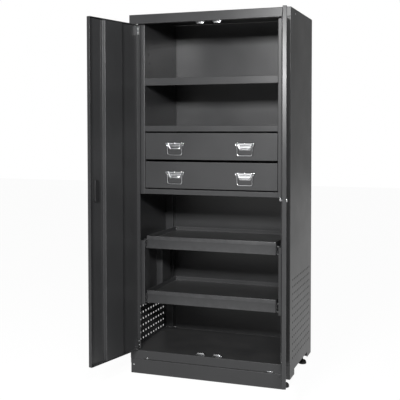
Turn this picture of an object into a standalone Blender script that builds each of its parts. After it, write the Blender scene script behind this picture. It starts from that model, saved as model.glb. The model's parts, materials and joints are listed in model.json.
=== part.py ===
"""Two-door steel tool cabinet with perforated sides, a shelf and drawer module above and sliding trays below.

X runs across the front, Y from the front to the back and Z up. The pieces are drawn from the cabinet's front
plane, Y = 0, and hang from one empty that sets the origin on the floor, on the cabinet's mid-plane and halfway
between its back and the free edges of its open doors. An inset is a distance from a side panel's outer face.
"""

import math

import bmesh
import bpy

# Carcass, in metres
WIDTH = 0.912
DEPTH = 0.538
HEIGHT = 2.000
SHEET = 0.0015
GAP = 0.0003

# Side panels and their perforated field
LEG_BOTTOM = 0.057
LEG_LENGTH = 0.105
PANEL_BOTTOM = 0.087
PEG_PITCH = 0.038
PEG_HOLE = 0.010
PEG_COLUMNS = 12
PEG_ROWS = 12
PEG_LOWEST = 0.156

# Front frame
FASCIA_HEIGHT = 0.050
RETURN_CLEARANCE = 0.001
STILE_WIDTH = 0.026
STILE_DEPTH = 0.020
STILE_RETURN = 0.012
FLOOR_TOP = 0.134
LIP_HEIGHT = 0.048
LIP_RETURN = 0.020
KICK_CLEARANCE = 0.002
KICK_LEFT_INSET = 0.003
KICK_RIGHT_INSET = 0.038
KICK_RETURN = 0.015

# Rear
BACK_STEP = 0.019
BACK_FIELD_INSET = 0.073
POST_WIDTH = 0.052

# Foot gussets and levelling feet
GUSSET_WIDTH = 0.080
GUSSET_LENGTH = 0.085
GUSSET_LAP = 0.0006
FOOT_INSET = 0.040
FOOT_FRONT = 0.055
FOOT_REAR = 0.045
FOOT_RADIUS = 0.0235
FOOT_RIM = 0.006
FOOT_DOME = 0.024
FOOT_NECK = 0.008
STEM_RADIUS = 0.005
STEM_STANDOUT = 0.016
NUT_RADIUS = 0.009
NUT_HEIGHT = 0.008

# Upper module
LINER_INSET = 0.0765
LINER_FRONT = 0.035
MODULE_BOTTOM = 1.0085
SHELF_SETBACK = 0.002
SHELF_RETURN = 0.015
SHELF_REAR_FOLD = 0.020
UPPER_SHELF_TOP = 1.652
UPPER_SHELF_FOLD = 0.041
BAY_SHELF_FOLD = 0.032
BAY_BOTTOM_FOLD = 0.028
SLOT_WIDTH = 0.004
SLOT_HEIGHT = 0.014
SLOT_PITCH = 0.050
SLOTS_BELOW = 3
SLOTS_ABOVE = 3
SLOT_MARGIN = 0.060
CLIP_REACH = 0.012
CLIP_LENGTH = 0.016
CLIP_DROP = 0.024
CLIP_LAP = 0.0006

# Drawers and their runners
DRAWER_HEIGHT = 0.147
DRAWER_BOTTOM_GAP = 0.006
DRAWER_SPACING = 0.012
DRAWER_TOP_GAP = 0.008
DRAWER_RETURN = 0.015
DRAWER_SHEET = 0.0012
BOX_RAISE = 0.010
BOX_DROP = 0.030
BOX_REAR_CLEARANCE = 0.052
BOX_FLANGE = 0.009
RUNNER_DEPTH = 0.012
RUNNER_HEIGHT = 0.016
RUNNER_REAR_CLEARANCE = 0.026
RUN_CLEARANCE = 0.001

# Chest handles
HANDLE_OFFSET = 0.200
HANDLE_DROP = 0.0555
HANDLE_STANDOFF = 0.0062
PLATE_TOP_WIDTH = 0.090
PLATE_BOTTOM_WIDTH = 0.062
PLATE_HEIGHT = 0.037
PLATE_LAP = 0.001
BARREL_RADIUS = 0.0055
BARREL_LENGTH = 0.092
BARREL_BORE_DEPTH = 0.012
WIRE_RADIUS = 0.003
WIRE_FIT = 0.0003
BAIL_WIDTH = 0.102
BAIL_FOOT_WIDTH = 0.084
BAIL_SHOULDER = 0.010
BAIL_STEP = 0.005
BAIL_DROP = 0.065
BAIL_BEND = 0.013

# Trays, their slides and carriers
TRAY_HEIGHT = 0.0695
TRAY_DEPTH = 0.0235
TRAY_REAR_CLEARANCE = 0.042
TRAY_SHEET = 0.0012
UPPER_TRAY_BOTTOM = 0.704
LOWER_TRAY_BOTTOM = 0.397
CARRIER_INSET = 0.072
CARRIER_RECESS = 0.035
CARRIER_FRONT_WEB = 0.070
CARRIER_RECESS_LENGTH = 0.188
CARRIER_LENGTH = 0.385
CARRIER_FOOT = 0.014
CARRIER_HEAD = 0.028
SLIDE_DEPTH = 0.0125
SLIDE_HEIGHT = 0.046
SLIDE_SETBACK = 0.016
SLIDE_LENGTH = 0.364
SLIDE_FLANGE = 0.008
SLIDE_CLEARANCE = 0.0005
INNER_SLIDE_FLANGE = 0.0085

# Doors
DOOR_THICKNESS = 0.020
DOOR_SHEET = 0.0012
DOOR_TOP_GAP = 0.004
DOOR_BOTTOM_GAP = 0.003
DOOR_STILE_GAP = 0.007
DOOR_MEETING_GAP = 0.003
LEFT_DOOR_ANGLE = 103.0
RIGHT_DOOR_ANGLE = 104.5
PIVOT_FROM_EDGE = 0.010
PIVOT_DEPTH = 0.011
PIN_RADIUS = 0.004
PIN_STANDOUT = 0.006
PIVOT_LEAF = 0.052
PIVOT_ARM = 0.024
PIVOT_WIDTH = 0.014
PIVOT_SHEET = 0.003
STIFFENER_FROM_EDGE = 0.138
STIFFENER_FROM_FREE_EDGE = 0.1075
STIFFENER_FLANGE = 0.012
STIFFENER_SLOPE = 0.005
STIFFENER_RIM_GAP = 0.001
STIFFENER_END_GAP = 0.004

# Recessed pulls, lock and catches
PULL_FROM_EDGE = 0.060
PULL_WIDTH = 0.030
PULL_DEPTH = 0.013
PULL_RIM = 0.004
PULL_SHEET = 0.001
PULL_TOP = 1.108
LEFT_PULL_HEIGHT = 0.114
RIGHT_PULL_HEIGHT = 0.052
LOCK_FROM_EDGE = 0.035
LOCK_DROP = 0.020
LOCK_RADIUS = 0.009
LOCK_HEAD_RADIUS = 0.0115
LOCK_HEAD = 0.004
CAM_PROUD = 0.007
CAM_SHEET = 0.003
CAM_LENGTH = 0.052
CAM_WIDTH = 0.013
CAM_BOSS = 0.009
CATCH_SPACING = 0.096
CATCH_MAGNET = 0.038
CATCH_EAR = 0.008
CATCH_HEIGHT = 0.012
CATCH_BASE = 0.002
CATCH_LENGTH = 0.013
CATCH_CLEARANCE = 0.0005

ROUND_SEGMENTS = 20
PIN_SEGMENTS = 12

# Places worked out from the sizes above
LIP_BOTTOM = FLOOR_TOP - LIP_HEIGHT
CAP_UNDER = HEIGHT - SHEET - GAP
FASCIA_BOTTOM = HEIGHT - FASCIA_HEIGHT
FASCIA_RETURN = LINER_FRONT - RETURN_CLEARANCE
BACK_FIELD = DEPTH - BACK_STEP
INSIDE_INSET = SHEET + GAP
SHELF_FRONT = LINER_FRONT + SHELF_SETBACK
BOX_LENGTH = BACK_FIELD - SHELF_FRONT - BOX_REAR_CLEARANCE
TRAY_LENGTH = BACK_FIELD - SHELF_FRONT - TRAY_REAR_CLEARANCE
BAY_BOTTOM_TOP = MODULE_BOTTOM + BAY_BOTTOM_FOLD
LOWER_DRAWER_BOTTOM = BAY_BOTTOM_TOP + DRAWER_BOTTOM_GAP
UPPER_DRAWER_BOTTOM = LOWER_DRAWER_BOTTOM + DRAWER_HEIGHT + DRAWER_SPACING
BAY_SHELF_TOP = UPPER_DRAWER_BOTTOM + DRAWER_HEIGHT + DRAWER_TOP_GAP + BAY_SHELF_FOLD
CLEAR_HALF = WIDTH / 2 - LINER_INSET - GAP
BOX_HALF = CLEAR_HALF - RUNNER_DEPTH - RUN_CLEARANCE
TRAY_HALF = WIDTH / 2 - CARRIER_INSET - GAP - SLIDE_DEPTH - GAP
DOOR_BOTTOM = FLOOR_TOP + DOOR_BOTTOM_GAP
DOOR_TOP = FASCIA_BOTTOM - DOOR_TOP_GAP
HINGE_EDGE_INSET = STILE_WIDTH + DOOR_STILE_GAP
DOOR_WIDTH = WIDTH / 2 - HINGE_EDGE_INSET - DOOR_MEETING_GAP / 2
PIVOT_X = WIDTH / 2 - HINGE_EDGE_INSET - PIVOT_FROM_EDGE
DOOR_OUTER = -PIVOT_DEPTH
DOOR_INNER = DOOR_THICKNESS - PIVOT_DEPTH
FREE_EDGE = DOOR_WIDTH - PIVOT_FROM_EDGE
SKIN_INSIDE = DOOR_OUTER + DOOR_SHEET
LEFT_OPEN = math.radians(LEFT_DOOR_ANGLE)
RIGHT_OPEN = math.radians(RIGHT_DOOR_ANGLE)
LEFT_REACH = FREE_EDGE * math.sin(LEFT_OPEN) - DOOR_INNER * math.cos(LEFT_OPEN) - PIVOT_DEPTH
RIGHT_REACH = FREE_EDGE * math.sin(RIGHT_OPEN) - DOOR_INNER * math.cos(RIGHT_OPEN) - PIVOT_DEPTH
DOOR_REACH = max(LEFT_REACH, RIGHT_REACH)
FRONT_Y = (DOOR_REACH - DEPTH) / 2

AXES = {"X": (1, 2, 0), "Y": (0, 2, 1), "Z": (0, 1, 2)}
BOX_FACES = {
    "-X": (0, 4, 6, 2),
    "+X": (1, 3, 7, 5),
    "-Y": (0, 1, 5, 4),
    "+Y": (2, 6, 7, 3),
    "-Z": (0, 2, 3, 1),
    "+Z": (4, 5, 7, 6),
}


# Building blocks


def make_material(name, colour, roughness, metallic):
    """A plain surface finish."""
    finish = bpy.data.materials.new(name)
    finish.use_nodes = True
    shader = finish.node_tree.nodes["Principled BSDF"]
    shader.inputs["Base Color"].default_value = (*colour, 1.0)
    shader.inputs["Roughness"].default_value = roughness
    shader.inputs["Metallic"].default_value = metallic
    return finish


def make_empty(name, place, parent):
    """A reference point that carries other objects."""
    empty = bpy.data.objects.new(name, None)
    empty.location = place
    empty.parent = parent
    bpy.context.scene.collection.objects.link(empty)
    return empty


def make_object(name, shape, finish, parent):
    """An object from a closed shape, with its faces turned outwards."""
    bmesh.ops.recalc_face_normals(shape, faces=shape.faces)
    mesh = bpy.data.meshes.new(name)
    shape.to_mesh(mesh)
    shape.free()
    mesh.materials.append(finish)
    item = bpy.data.objects.new(name, mesh)
    item.parent = parent
    bpy.context.scene.collection.objects.link(item)
    return item


def apply_modifiers(item):
    """The object's mesh as its modifiers leave it."""
    bpy.context.view_layer.update()
    graph = bpy.context.evaluated_depsgraph_get()
    solid = bpy.data.meshes.new_from_object(item.evaluated_get(graph))
    item.modifiers.clear()
    item.data = solid


def combine(item, tool, operation):
    """Joins the tool to the object, or cuts it out of the object, and removes the tool."""
    modifier = item.modifiers.new(operation.lower(), "BOOLEAN")
    modifier.operation = operation
    modifier.solver = "EXACT"
    modifier.object = tool
    apply_modifiers(item)
    bpy.data.objects.remove(tool, do_unlink=True)


def add_prism(shape, outline, axis, low, high):
    """Adds a closed prism, whose outline lies in the other two axes, in X, Y, Z order."""
    first, second, along = AXES[axis]
    rings = []
    for level in (low, high):
        ring = []
        for u, v in outline:
            point = [0.0, 0.0, 0.0]
            point[first] = u
            point[second] = v
            point[along] = level
            ring.append(shape.verts.new(point))
        rings.append(ring)
    shape.faces.new(rings[0])
    shape.faces.new(rings[1])
    for i in range(len(outline)):
        j = (i + 1) % len(outline)
        shape.faces.new((rings[0][i], rings[0][j], rings[1][j], rings[1][i]))


def add_box(shape, low, high):
    """Adds a closed box between two corners."""
    outline = ((low[0], low[1]), (high[0], low[1]), (high[0], high[1]), (low[0], high[1]))
    add_prism(shape, outline, "Z", low[2], high[2])


def circle(centre, radius, segments):
    """Points of a circle, as an outline."""
    turn = 2 * math.pi / segments
    return [
        (centre[0] + radius * math.cos(i * turn), centre[1] + radius * math.sin(i * turn))
        for i in range(segments)
    ]


def fold(path, thickness):
    """Outline of a folded sheet: its path, and the parallel on the path's left, with mitred folds."""
    normals = []
    for (x0, y0), (x1, y1) in zip(path, path[1:]):
        length = math.hypot(x1 - x0, y1 - y0)
        normals.append(((y0 - y1) / length, (x1 - x0) / length))
    parallel = []
    for i, (x, y) in enumerate(path):
        before = normals[max(i - 1, 0)]
        after = normals[min(i, len(normals) - 1)]
        share = thickness / (1 + before[0] * after[0] + before[1] * after[1])
        parallel.append((x + share * (before[0] + after[0]), y + share * (before[1] + after[1])))
    return list(path) + parallel[::-1]


def make_prism(name, outline, axis, low, high, finish, parent):
    """An object that is one prism."""
    shape = bmesh.new()
    add_prism(shape, outline, axis, low, high)
    return make_object(name, shape, finish, parent)


def join_rings(shape, rings):
    """Closes a shape over its rings, from a face on the first to a face on the last."""
    shape.faces.new(rings[0])
    shape.faces.new(rings[-1])
    count = len(rings[0])
    for below, above in zip(rings, rings[1:]):
        for i in range(count):
            j = (i + 1) % count
            shape.faces.new((below[i], below[j], above[j], above[i]))


def make_turned(name, profile, axis, segments, finish, parent, centre=(0.0, 0.0)):
    """A turned piece: the profile's radii and levels, from one end of the axis to the other."""
    first, second, along = AXES[axis]
    shape = bmesh.new()
    rings = []
    for radius, level in profile:
        ring = []
        for u, v in circle(centre, radius, segments):
            point = [0.0, 0.0, 0.0]
            point[first] = u
            point[second] = v
            point[along] = level
            ring.append(shape.verts.new(point))
        rings.append(ring)
    join_rings(shape, rings)
    return make_object(name, shape, finish, parent)


def make_pan(name, low, high, open_side, sheet, finish, parent, flange=0.0, rim=0.0):
    """A folded pan, open on one side, of sheet that lies inside its outer corners.

    A flange turns outwards along the upper edges of the two X walls. A rim turns outwards all round a pan
    that is open towards -Y.
    """
    shape = bmesh.new()
    ends = (low, high)
    corners = []
    for i in range(8):
        corners.append(shape.verts.new((ends[i & 1][0], ends[i >> 1 & 1][1], ends[i >> 2][2])))
    for side, loop in BOX_FACES.items():
        if side != open_side:
            shape.faces.new([corners[i] for i in loop])
    if flange:
        for inner, outward in (((5, 7), flange), ((6, 4), -flange)):
            edge = [corners[i] for i in inner]
            outer = [shape.verts.new((v.co.x + outward, v.co.y, v.co.z)) for v in edge]
            shape.faces.new((edge[0], edge[1], outer[1], outer[0]))
    if rim:
        mouth = [corners[i] for i in BOX_FACES["-Y"]]
        outer = []
        for v in mouth:
            across = rim if v.co.x > (low[0] + high[0]) / 2 else -rim
            upward = rim if v.co.z > (low[2] + high[2]) / 2 else -rim
            outer.append(shape.verts.new((v.co.x + across, v.co.y, v.co.z + upward)))
        for i in range(4):
            j = (i + 1) % 4
            shape.faces.new((mouth[i], mouth[j], outer[j], outer[i]))
    mesh = bpy.data.meshes.new(name)
    shape.to_mesh(mesh)
    shape.free()
    mesh.materials.append(finish)
    item = bpy.data.objects.new(name, mesh)
    item.parent = parent
    bpy.context.scene.collection.objects.link(item)
    thicken = item.modifiers.new("sheet", "SOLIDIFY")
    thicken.thickness = sheet
    thicken.offset = -1.0
    thicken.use_even_offset = True
    apply_modifiers(item)
    return item


def make_wire(name, points, radius, finish, parent):
    """A round wire through the points, with closed ends."""
    curve = bpy.data.curves.new(name, "CURVE")
    curve.dimensions = "3D"
    curve.bevel_depth = radius
    curve.bevel_resolution = 2
    curve.use_fill_caps = True
    spline = curve.splines.new("POLY")
    spline.points.add(len(points) - 1)
    for point, place in zip(spline.points, points):
        point.co = (*place, 1.0)
    curve.materials.append(finish)
    item = bpy.data.objects.new(name, curve)
    item.parent = parent
    bpy.context.scene.collection.objects.link(item)
    return item


def inset_x(side, inset):
    """Where an inset lies on X: side is -1 on the left and 1 on the right."""
    return side * (WIDTH / 2 - inset)


def side_name(side):
    return "left" if side < 0 else "right"


# Carcass


def side_panel(side, finish, cabinet):
    """Flat side sheet with a leg at each end and a square grid of square holes."""
    front = SHEET + GAP
    outline = (
        (front, LEG_BOTTOM),
        (front + LEG_LENGTH, LEG_BOTTOM),
        (front + LEG_LENGTH, PANEL_BOTTOM),
        (DEPTH - LEG_LENGTH, PANEL_BOTTOM),
        (DEPTH - LEG_LENGTH, LEG_BOTTOM),
        (DEPTH, LEG_BOTTOM),
        (DEPTH, CAP_UNDER),
        (front, CAP_UNDER),
    )
    faces_x = sorted((inset_x(side, 0), inset_x(side, SHEET)))
    panel = make_prism(f"{side_name(side)}_side_panel", outline, "X", *faces_x, finish, cabinet)
    holes = bmesh.new()
    first_column = DEPTH / 2 - PEG_PITCH * (PEG_COLUMNS - 1) / 2
    for column in range(PEG_COLUMNS):
        for row in range(PEG_ROWS):
            y = first_column + PEG_PITCH * column
            z = PEG_LOWEST + PEG_PITCH * row
            low = (faces_x[0] - SHEET, y - PEG_HOLE / 2, z - PEG_HOLE / 2)
            high = (faces_x[1] + SHEET, y + PEG_HOLE / 2, z + PEG_HOLE / 2)
            add_box(holes, low, high)
    combine(panel, make_object("peg_holes", holes, finish, cabinet), "DIFFERENCE")


def front_stile(side, finish, cabinet):
    """Folded post beside a door, between the floor and the fascia."""
    path = (
        (inset_x(side, 0), 0),
        (inset_x(side, STILE_WIDTH), 0),
        (inset_x(side, STILE_WIDTH), STILE_DEPTH),
        (inset_x(side, STILE_WIDTH - STILE_RETURN), STILE_DEPTH),
    )
    outline = fold(path, -side * SHEET)
    low = FLOOR_TOP + GAP
    make_prism(f"{side_name(side)}_front_stile", outline, "Z", low, FASCIA_BOTTOM - GAP, finish, cabinet)


def rear_post(side, finish, cabinet):
    """Folded corner post beside the back panel's field."""
    path = (
        (inset_x(side, INSIDE_INSET), BACK_FIELD),
        (inset_x(side, POST_WIDTH), BACK_FIELD),
        (inset_x(side, POST_WIDTH), DEPTH - SHEET - GAP),
    )
    outline = fold(path, -side * SHEET)
    make_prism(f"{side_name(side)}_rear_post", outline, "Z", FLOOR_TOP + GAP, CAP_UNDER, finish, cabinet)


def back_panel(finish, cabinet):
    """Back sheet, folded so that its field stands forward of its two side flanges."""
    outer = WIDTH / 2 - INSIDE_INSET
    field = WIDTH / 2 - BACK_FIELD_INSET
    rear = BACK_FIELD + SHEET
    path = ((outer, DEPTH), (field, DEPTH), (field, rear), (-field, rear), (-field, DEPTH), (-outer, DEPTH))
    outline = fold(path, SHEET)
    make_prism("back_panel", outline, "Z", FLOOR_TOP + GAP, CAP_UNDER, finish, cabinet)


def end_trims(shape, low_y, high_y, low_z, high_z):
    """Adds the two blocks that trim a full-width sheet back to the inside of the side panels."""
    for side in (-1, 1):
        ends_x = sorted((inset_x(side, INSIDE_INSET), inset_x(side, -SHEET)))
        add_box(shape, (ends_x[0], low_y, low_z), (ends_x[1], high_y, high_z))


def pin_holes(shape, low_z, high_z):
    """Adds the two cylinders that cut the holes for the door pivots."""
    for side in (-1, 1):
        outline = circle((side * PIVOT_X, PIVOT_DEPTH), PIN_RADIUS + GAP, PIN_SEGMENTS)
        add_prism(shape, outline, "Z", low_z, high_z)


def top_panel(finish, cabinet):
    """Roof folded down into the fascia and back into the return that holds the upper pivots."""
    path = ((FASCIA_RETURN, FASCIA_BOTTOM), (0, FASCIA_BOTTOM), (0, HEIGHT), (DEPTH, HEIGHT))
    panel = make_prism("top_panel", fold(path, -SHEET), "X", -WIDTH / 2, WIDTH / 2, finish, cabinet)
    cuts = bmesh.new()
    end_trims(cuts, SHEET, DEPTH, FASCIA_BOTTOM - SHEET, FASCIA_BOTTOM + 2 * SHEET)
    pin_holes(cuts, FASCIA_BOTTOM - SHEET, FASCIA_BOTTOM + 2 * SHEET)
    combine(panel, make_object("top_cuts", cuts, finish, cabinet), "DIFFERENCE")


def foot_places():
    """The four feet, as corner names, sides and places."""
    for end, y in (("front", FOOT_FRONT), ("rear", DEPTH - FOOT_REAR)):
        for side in (-1, 1):
            yield f"{end}_{side_name(side)}", side, inset_x(side, FOOT_INSET), y


def floor_panel(finish, cabinet):
    """Floor folded down into the lip and the rear flange, with a gusset for a foot at each corner."""
    path = (
        (LIP_RETURN, LIP_BOTTOM),
        (0, LIP_BOTTOM),
        (0, FLOOR_TOP),
        (DEPTH, FLOOR_TOP),
        (DEPTH, PANEL_BOTTOM),
    )
    panel = make_prism("floor_panel", fold(path, -SHEET), "X", -WIDTH / 2, WIDTH / 2, finish, cabinet)
    cuts = bmesh.new()
    end_trims(cuts, SHEET, DEPTH + SHEET, LIP_BOTTOM - SHEET, FLOOR_TOP + SHEET)
    pin_holes(cuts, FLOOR_TOP - 2 * SHEET, FLOOR_TOP + SHEET)
    combine(panel, make_object("floor_cuts", cuts, finish, cabinet), "DIFFERENCE")
    gusset_top = FLOOR_TOP - SHEET + GUSSET_LAP
    front = SHEET + GAP
    rear = DEPTH - GUSSET_LAP
    for corner, side, x, y in foot_places():
        start = front if corner.startswith("front") else rear - GUSSET_LENGTH
        end = start + GUSSET_LENGTH
        walls = ((start, gusset_top), (start, LEG_BOTTOM), (end, LEG_BOTTOM), (end, gusset_top))
        ends_x = sorted((inset_x(side, INSIDE_INSET), inset_x(side, GUSSET_WIDTH)))
        gusset = make_prism("gusset", fold(walls, SHEET), "X", *ends_x, finish, cabinet)
        hole = circle((x, y), STEM_RADIUS + GAP, ROUND_SEGMENTS)
        drill = make_prism("drill", hole, "Z", LEG_BOTTOM - SHEET, LEG_BOTTOM + 2 * SHEET, finish, cabinet)
        combine(gusset, drill, "DIFFERENCE")
        combine(panel, gusset, "UNION")


def kick_plate(finish, cabinet):
    """Plinth sheet under the lip, which stops short of the right corner."""
    path = ((0, LIP_BOTTOM - GAP), (0, KICK_CLEARANCE), (KICK_RETURN, KICK_CLEARANCE))
    left = inset_x(-1, KICK_LEFT_INSET)
    right = inset_x(1, KICK_RIGHT_INSET)
    make_prism("kick_plate", fold(path, SHEET), "X", left, right, finish, cabinet)


def levelling_foot(corner, x, y, finish, cabinet):
    """Domed pad, threaded stem through its gusset, and lock nut below the gusset."""
    nut_top = LEG_BOTTOM - GAP
    profile = [(FOOT_RADIUS, 0), (FOOT_RADIUS, FOOT_RIM)]
    for step in (1, 2, 3):
        angle = math.pi / 2 * step / 3
        radius = FOOT_NECK + (FOOT_RADIUS - FOOT_NECK) * math.cos(angle)
        profile.append((radius, FOOT_RIM + (FOOT_DOME - FOOT_RIM) * math.sin(angle)))
    profile += [
        (STEM_RADIUS, FOOT_DOME),
        (STEM_RADIUS, nut_top - NUT_HEIGHT),
        (NUT_RADIUS, nut_top - NUT_HEIGHT),
        (NUT_RADIUS, nut_top),
        (STEM_RADIUS, nut_top),
        (STEM_RADIUS, LEG_BOTTOM + STEM_STANDOUT),
    ]
    foot = make_turned(f"{corner}_foot", profile, "Z", ROUND_SEGMENTS, finish, cabinet)
    foot.location = (x, y, 0)


# Upper module


def liner(side, finish, cabinet):
    """Inner wall of the module, folded to the side panel at the front, with shelf slots and shelf clips."""
    rear = BACK_FIELD - GAP
    path = (
        (inset_x(side, INSIDE_INSET), LINER_FRONT),
        (inset_x(side, LINER_INSET), LINER_FRONT),
        (inset_x(side, LINER_INSET), rear),
    )
    name = f"{side_name(side)}_liner"
    wall = make_prism(name, fold(path, -side * SHEET), "Z", MODULE_BOTTOM, CAP_UNDER, finish, cabinet)
    columns = (LINER_FRONT + SLOT_MARGIN, rear - SLOT_MARGIN)
    clip_top = UPPER_SHELF_TOP - SHEET - GAP
    slots = bmesh.new()
    slot_x = sorted((inset_x(side, LINER_INSET - 2 * SHEET), inset_x(side, LINER_INSET + SHEET)))
    for y in columns:
        for step in range(-SLOTS_BELOW, SLOTS_ABOVE + 1):
            z = clip_top - CLIP_DROP / 2 + step * SLOT_PITCH
            if step:
                low = (slot_x[0], y - SLOT_WIDTH / 2, z - SLOT_HEIGHT / 2)
                high = (slot_x[1], y + SLOT_WIDTH / 2, z + SLOT_HEIGHT / 2)
                add_box(slots, low, high)
    combine(wall, make_object("slots", slots, finish, cabinet), "DIFFERENCE")
    clips = bmesh.new()
    clip_x = sorted((inset_x(side, LINER_INSET - CLIP_LAP), inset_x(side, LINER_INSET + CLIP_REACH)))
    for y in columns:
        low = (clip_x[0], y - CLIP_LENGTH / 2, clip_top - CLIP_DROP)
        add_box(clips, low, (clip_x[1], y + CLIP_LENGTH / 2, clip_top))
    combine(wall, make_object("clips", clips, finish, cabinet), "UNION")


def shelf(name, top, front_fold, finish, cabinet):
    """Shelf between the liners, folded down and back at the front and down at the rear."""
    rear = BACK_FIELD - GAP
    path = (
        (SHELF_FRONT + SHELF_RETURN, top - front_fold),
        (SHELF_FRONT, top - front_fold),
        (SHELF_FRONT, top),
        (rear, top),
        (rear, top - SHELF_REAR_FOLD),
    )
    make_prism(name, fold(path, -SHEET), "X", -CLEAR_HALF, CLEAR_HALF, finish, cabinet)


# Drawers


def drawer(name, bottom, finish, cabinet):
    """Drawer box with running flanges along its upper edges, and the folded front joined to it."""
    base = make_empty(f"{name}_slide", (0, SHELF_FRONT, bottom), cabinet)
    box_low = (-BOX_HALF, SHEET / 2, BOX_RAISE)
    box_high = (BOX_HALF, BOX_LENGTH, DRAWER_HEIGHT - BOX_DROP)
    box = make_pan(name, box_low, box_high, "+Z", DRAWER_SHEET, finish, base, flange=BOX_FLANGE)
    path = ((DRAWER_RETURN, DRAWER_HEIGHT), (0, DRAWER_HEIGHT), (0, 0), (DRAWER_RETURN, 0))
    front_half = CLEAR_HALF - RUN_CLEARANCE
    front = make_prism("front", fold(path, SHEET), "X", -front_half, front_half, finish, base)
    combine(box, front, "UNION")
    return base


def drawer_runner(name, side, drawer_bottom, finish, cabinet):
    """Channel on a liner, open towards the drawer, that holds the drawer's flange."""
    flange_under = drawer_bottom + DRAWER_HEIGHT - BOX_DROP
    low = flange_under - GAP - SHEET
    high = low + RUNNER_HEIGHT
    inner = side * (CLEAR_HALF - RUNNER_DEPTH)
    outer = side * CLEAR_HALF
    path = ((inner, low), (outer, low), (outer, high), (inner, high))
    start = SHELF_FRONT + DRAWER_RETURN + RUN_CLEARANCE
    end = BACK_FIELD - RUNNER_REAR_CLEARANCE
    make_prism(name, fold(path, side * SHEET), "Y", start, end, finish, cabinet)


def handle_plate(name, x, finish, base):
    """Riveted plate, wider at its top, with the barrel that holds the bail."""
    axis_z = DRAWER_HEIGHT - HANDLE_DROP
    outline = (
        (x - PLATE_TOP_WIDTH / 2, axis_z),
        (x + PLATE_TOP_WIDTH / 2, axis_z),
        (x + PLATE_BOTTOM_WIDTH / 2, axis_z - PLATE_HEIGHT),
        (x - PLATE_BOTTOM_WIDTH / 2, axis_z - PLATE_HEIGHT),
    )
    plate = make_prism(name, outline, "Y", -GAP - SHEET, -GAP, finish, base)
    half = BARREL_LENGTH / 2
    rim = circle((-HANDLE_STANDOFF, axis_z), BARREL_RADIUS, PIN_SEGMENTS)
    barrel = make_prism("barrel", rim, "X", x - half, x + half, finish, base)
    bores = bmesh.new()
    bore = circle((-HANDLE_STANDOFF, axis_z), WIRE_RADIUS + WIRE_FIT, PIN_SEGMENTS)
    add_prism(bores, bore, "X", x - half - PLATE_LAP, x - half + BARREL_BORE_DEPTH)
    add_prism(bores, bore, "X", x + half - BARREL_BORE_DEPTH, x + half + PLATE_LAP)
    combine(barrel, make_object("bores", bores, finish, base), "DIFFERENCE")
    combine(plate, barrel, "UNION")


def handle_bail(name, x, finish, base):
    """Wire bail that hangs from the two ends of its barrel and steps in below them."""
    hinge = make_empty(f"{name}_hinge", (x, -HANDLE_STANDOFF, DRAWER_HEIGHT - HANDLE_DROP), base)
    half = BAIL_WIDTH / 2
    foot = BAIL_FOOT_WIDTH / 2
    tip = BARREL_LENGTH / 2 - BARREL_BORE_DEPTH + WIRE_FIT
    neck = half - WIRE_RADIUS
    bend = BAIL_BEND - WIRE_RADIUS
    right = [
        (tip, 0, 0),
        (neck, 0, 0),
        (half, 0, -WIRE_RADIUS),
        (half, 0, -BAIL_SHOULDER),
        (foot, 0, -BAIL_SHOULDER - BAIL_STEP),
    ]
    for step in range(5):
        angle = math.pi / 2 * step / 4
        across = foot - bend + bend * math.cos(angle)
        right.append((across, 0, -BAIL_DROP + bend - bend * math.sin(angle)))
    left = [(-across, y, z) for across, y, z in right[::-1]]
    make_wire(name, right + left, WIRE_RADIUS, finish, hinge)


# Trays


def tray_carrier(side, finish, cabinet):
    """Corrugated upright sheet that stands off the side panel and carries the tray slides."""
    front = LINER_FRONT
    recess = CARRIER_INSET - CARRIER_RECESS
    recess_start = front + CARRIER_FRONT_WEB
    recess_end = recess_start + CARRIER_RECESS_LENGTH
    rear = front + CARRIER_LENGTH
    path = (
        (inset_x(side, INSIDE_INSET), front),
        (inset_x(side, CARRIER_INSET), front),
        (inset_x(side, CARRIER_INSET), recess_start),
        (inset_x(side, recess), recess_start),
        (inset_x(side, recess), recess_end),
        (inset_x(side, CARRIER_INSET), recess_end),
        (inset_x(side, CARRIER_INSET), rear),
        (inset_x(side, INSIDE_INSET), rear),
    )
    low = LOWER_TRAY_BOTTOM - CARRIER_FOOT
    high = UPPER_TRAY_BOTTOM + TRAY_HEIGHT - CARRIER_HEAD
    make_prism(f"{side_name(side)}_tray_carrier", fold(path, -side * SHEET), "Z", low, high, finish, cabinet)


def tray(name, bottom, finish, cabinet):
    """Shallow sliding tray, whose walls run on below its floor as an apron.

    Its section goes from the floor up the inside, over the rim, down the outside and back up under the floor.
    """
    base = make_empty(f"{name}_slide", (0, SHELF_FRONT, bottom), cabinet)
    floor = TRAY_HEIGHT - TRAY_DEPTH
    section = (
        (TRAY_SHEET, floor),
        (TRAY_SHEET, TRAY_HEIGHT),
        (0, TRAY_HEIGHT),
        (0, 0),
        (TRAY_SHEET, 0),
        (TRAY_SHEET, floor - TRAY_SHEET),
    )
    shape = bmesh.new()
    rings = []
    for inset, level in section:
        across = TRAY_HALF - inset
        rear = TRAY_LENGTH - inset
        corners = ((-across, inset), (across, inset), (across, rear), (-across, rear))
        rings.append([shape.verts.new((x, y, level)) for x, y in corners])
    join_rings(shape, rings)
    make_object(name, shape, finish, base)
    return base


def fixed_slide(name, side, tray_bottom, finish, cabinet):
    """Outer slide member, a channel on the carrier that opens towards the tray."""
    outer = inset_x(side, CARRIER_INSET + GAP)
    inner = outer - side * SLIDE_FLANGE
    low = tray_bottom
    high = low + SLIDE_HEIGHT
    path = ((inner, low), (outer, low), (outer, high), (inner, high))
    start = SHELF_FRONT + SLIDE_SETBACK
    make_prism(name, fold(path, side * SHEET), "Y", start, start + SLIDE_LENGTH, finish, cabinet)


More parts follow.
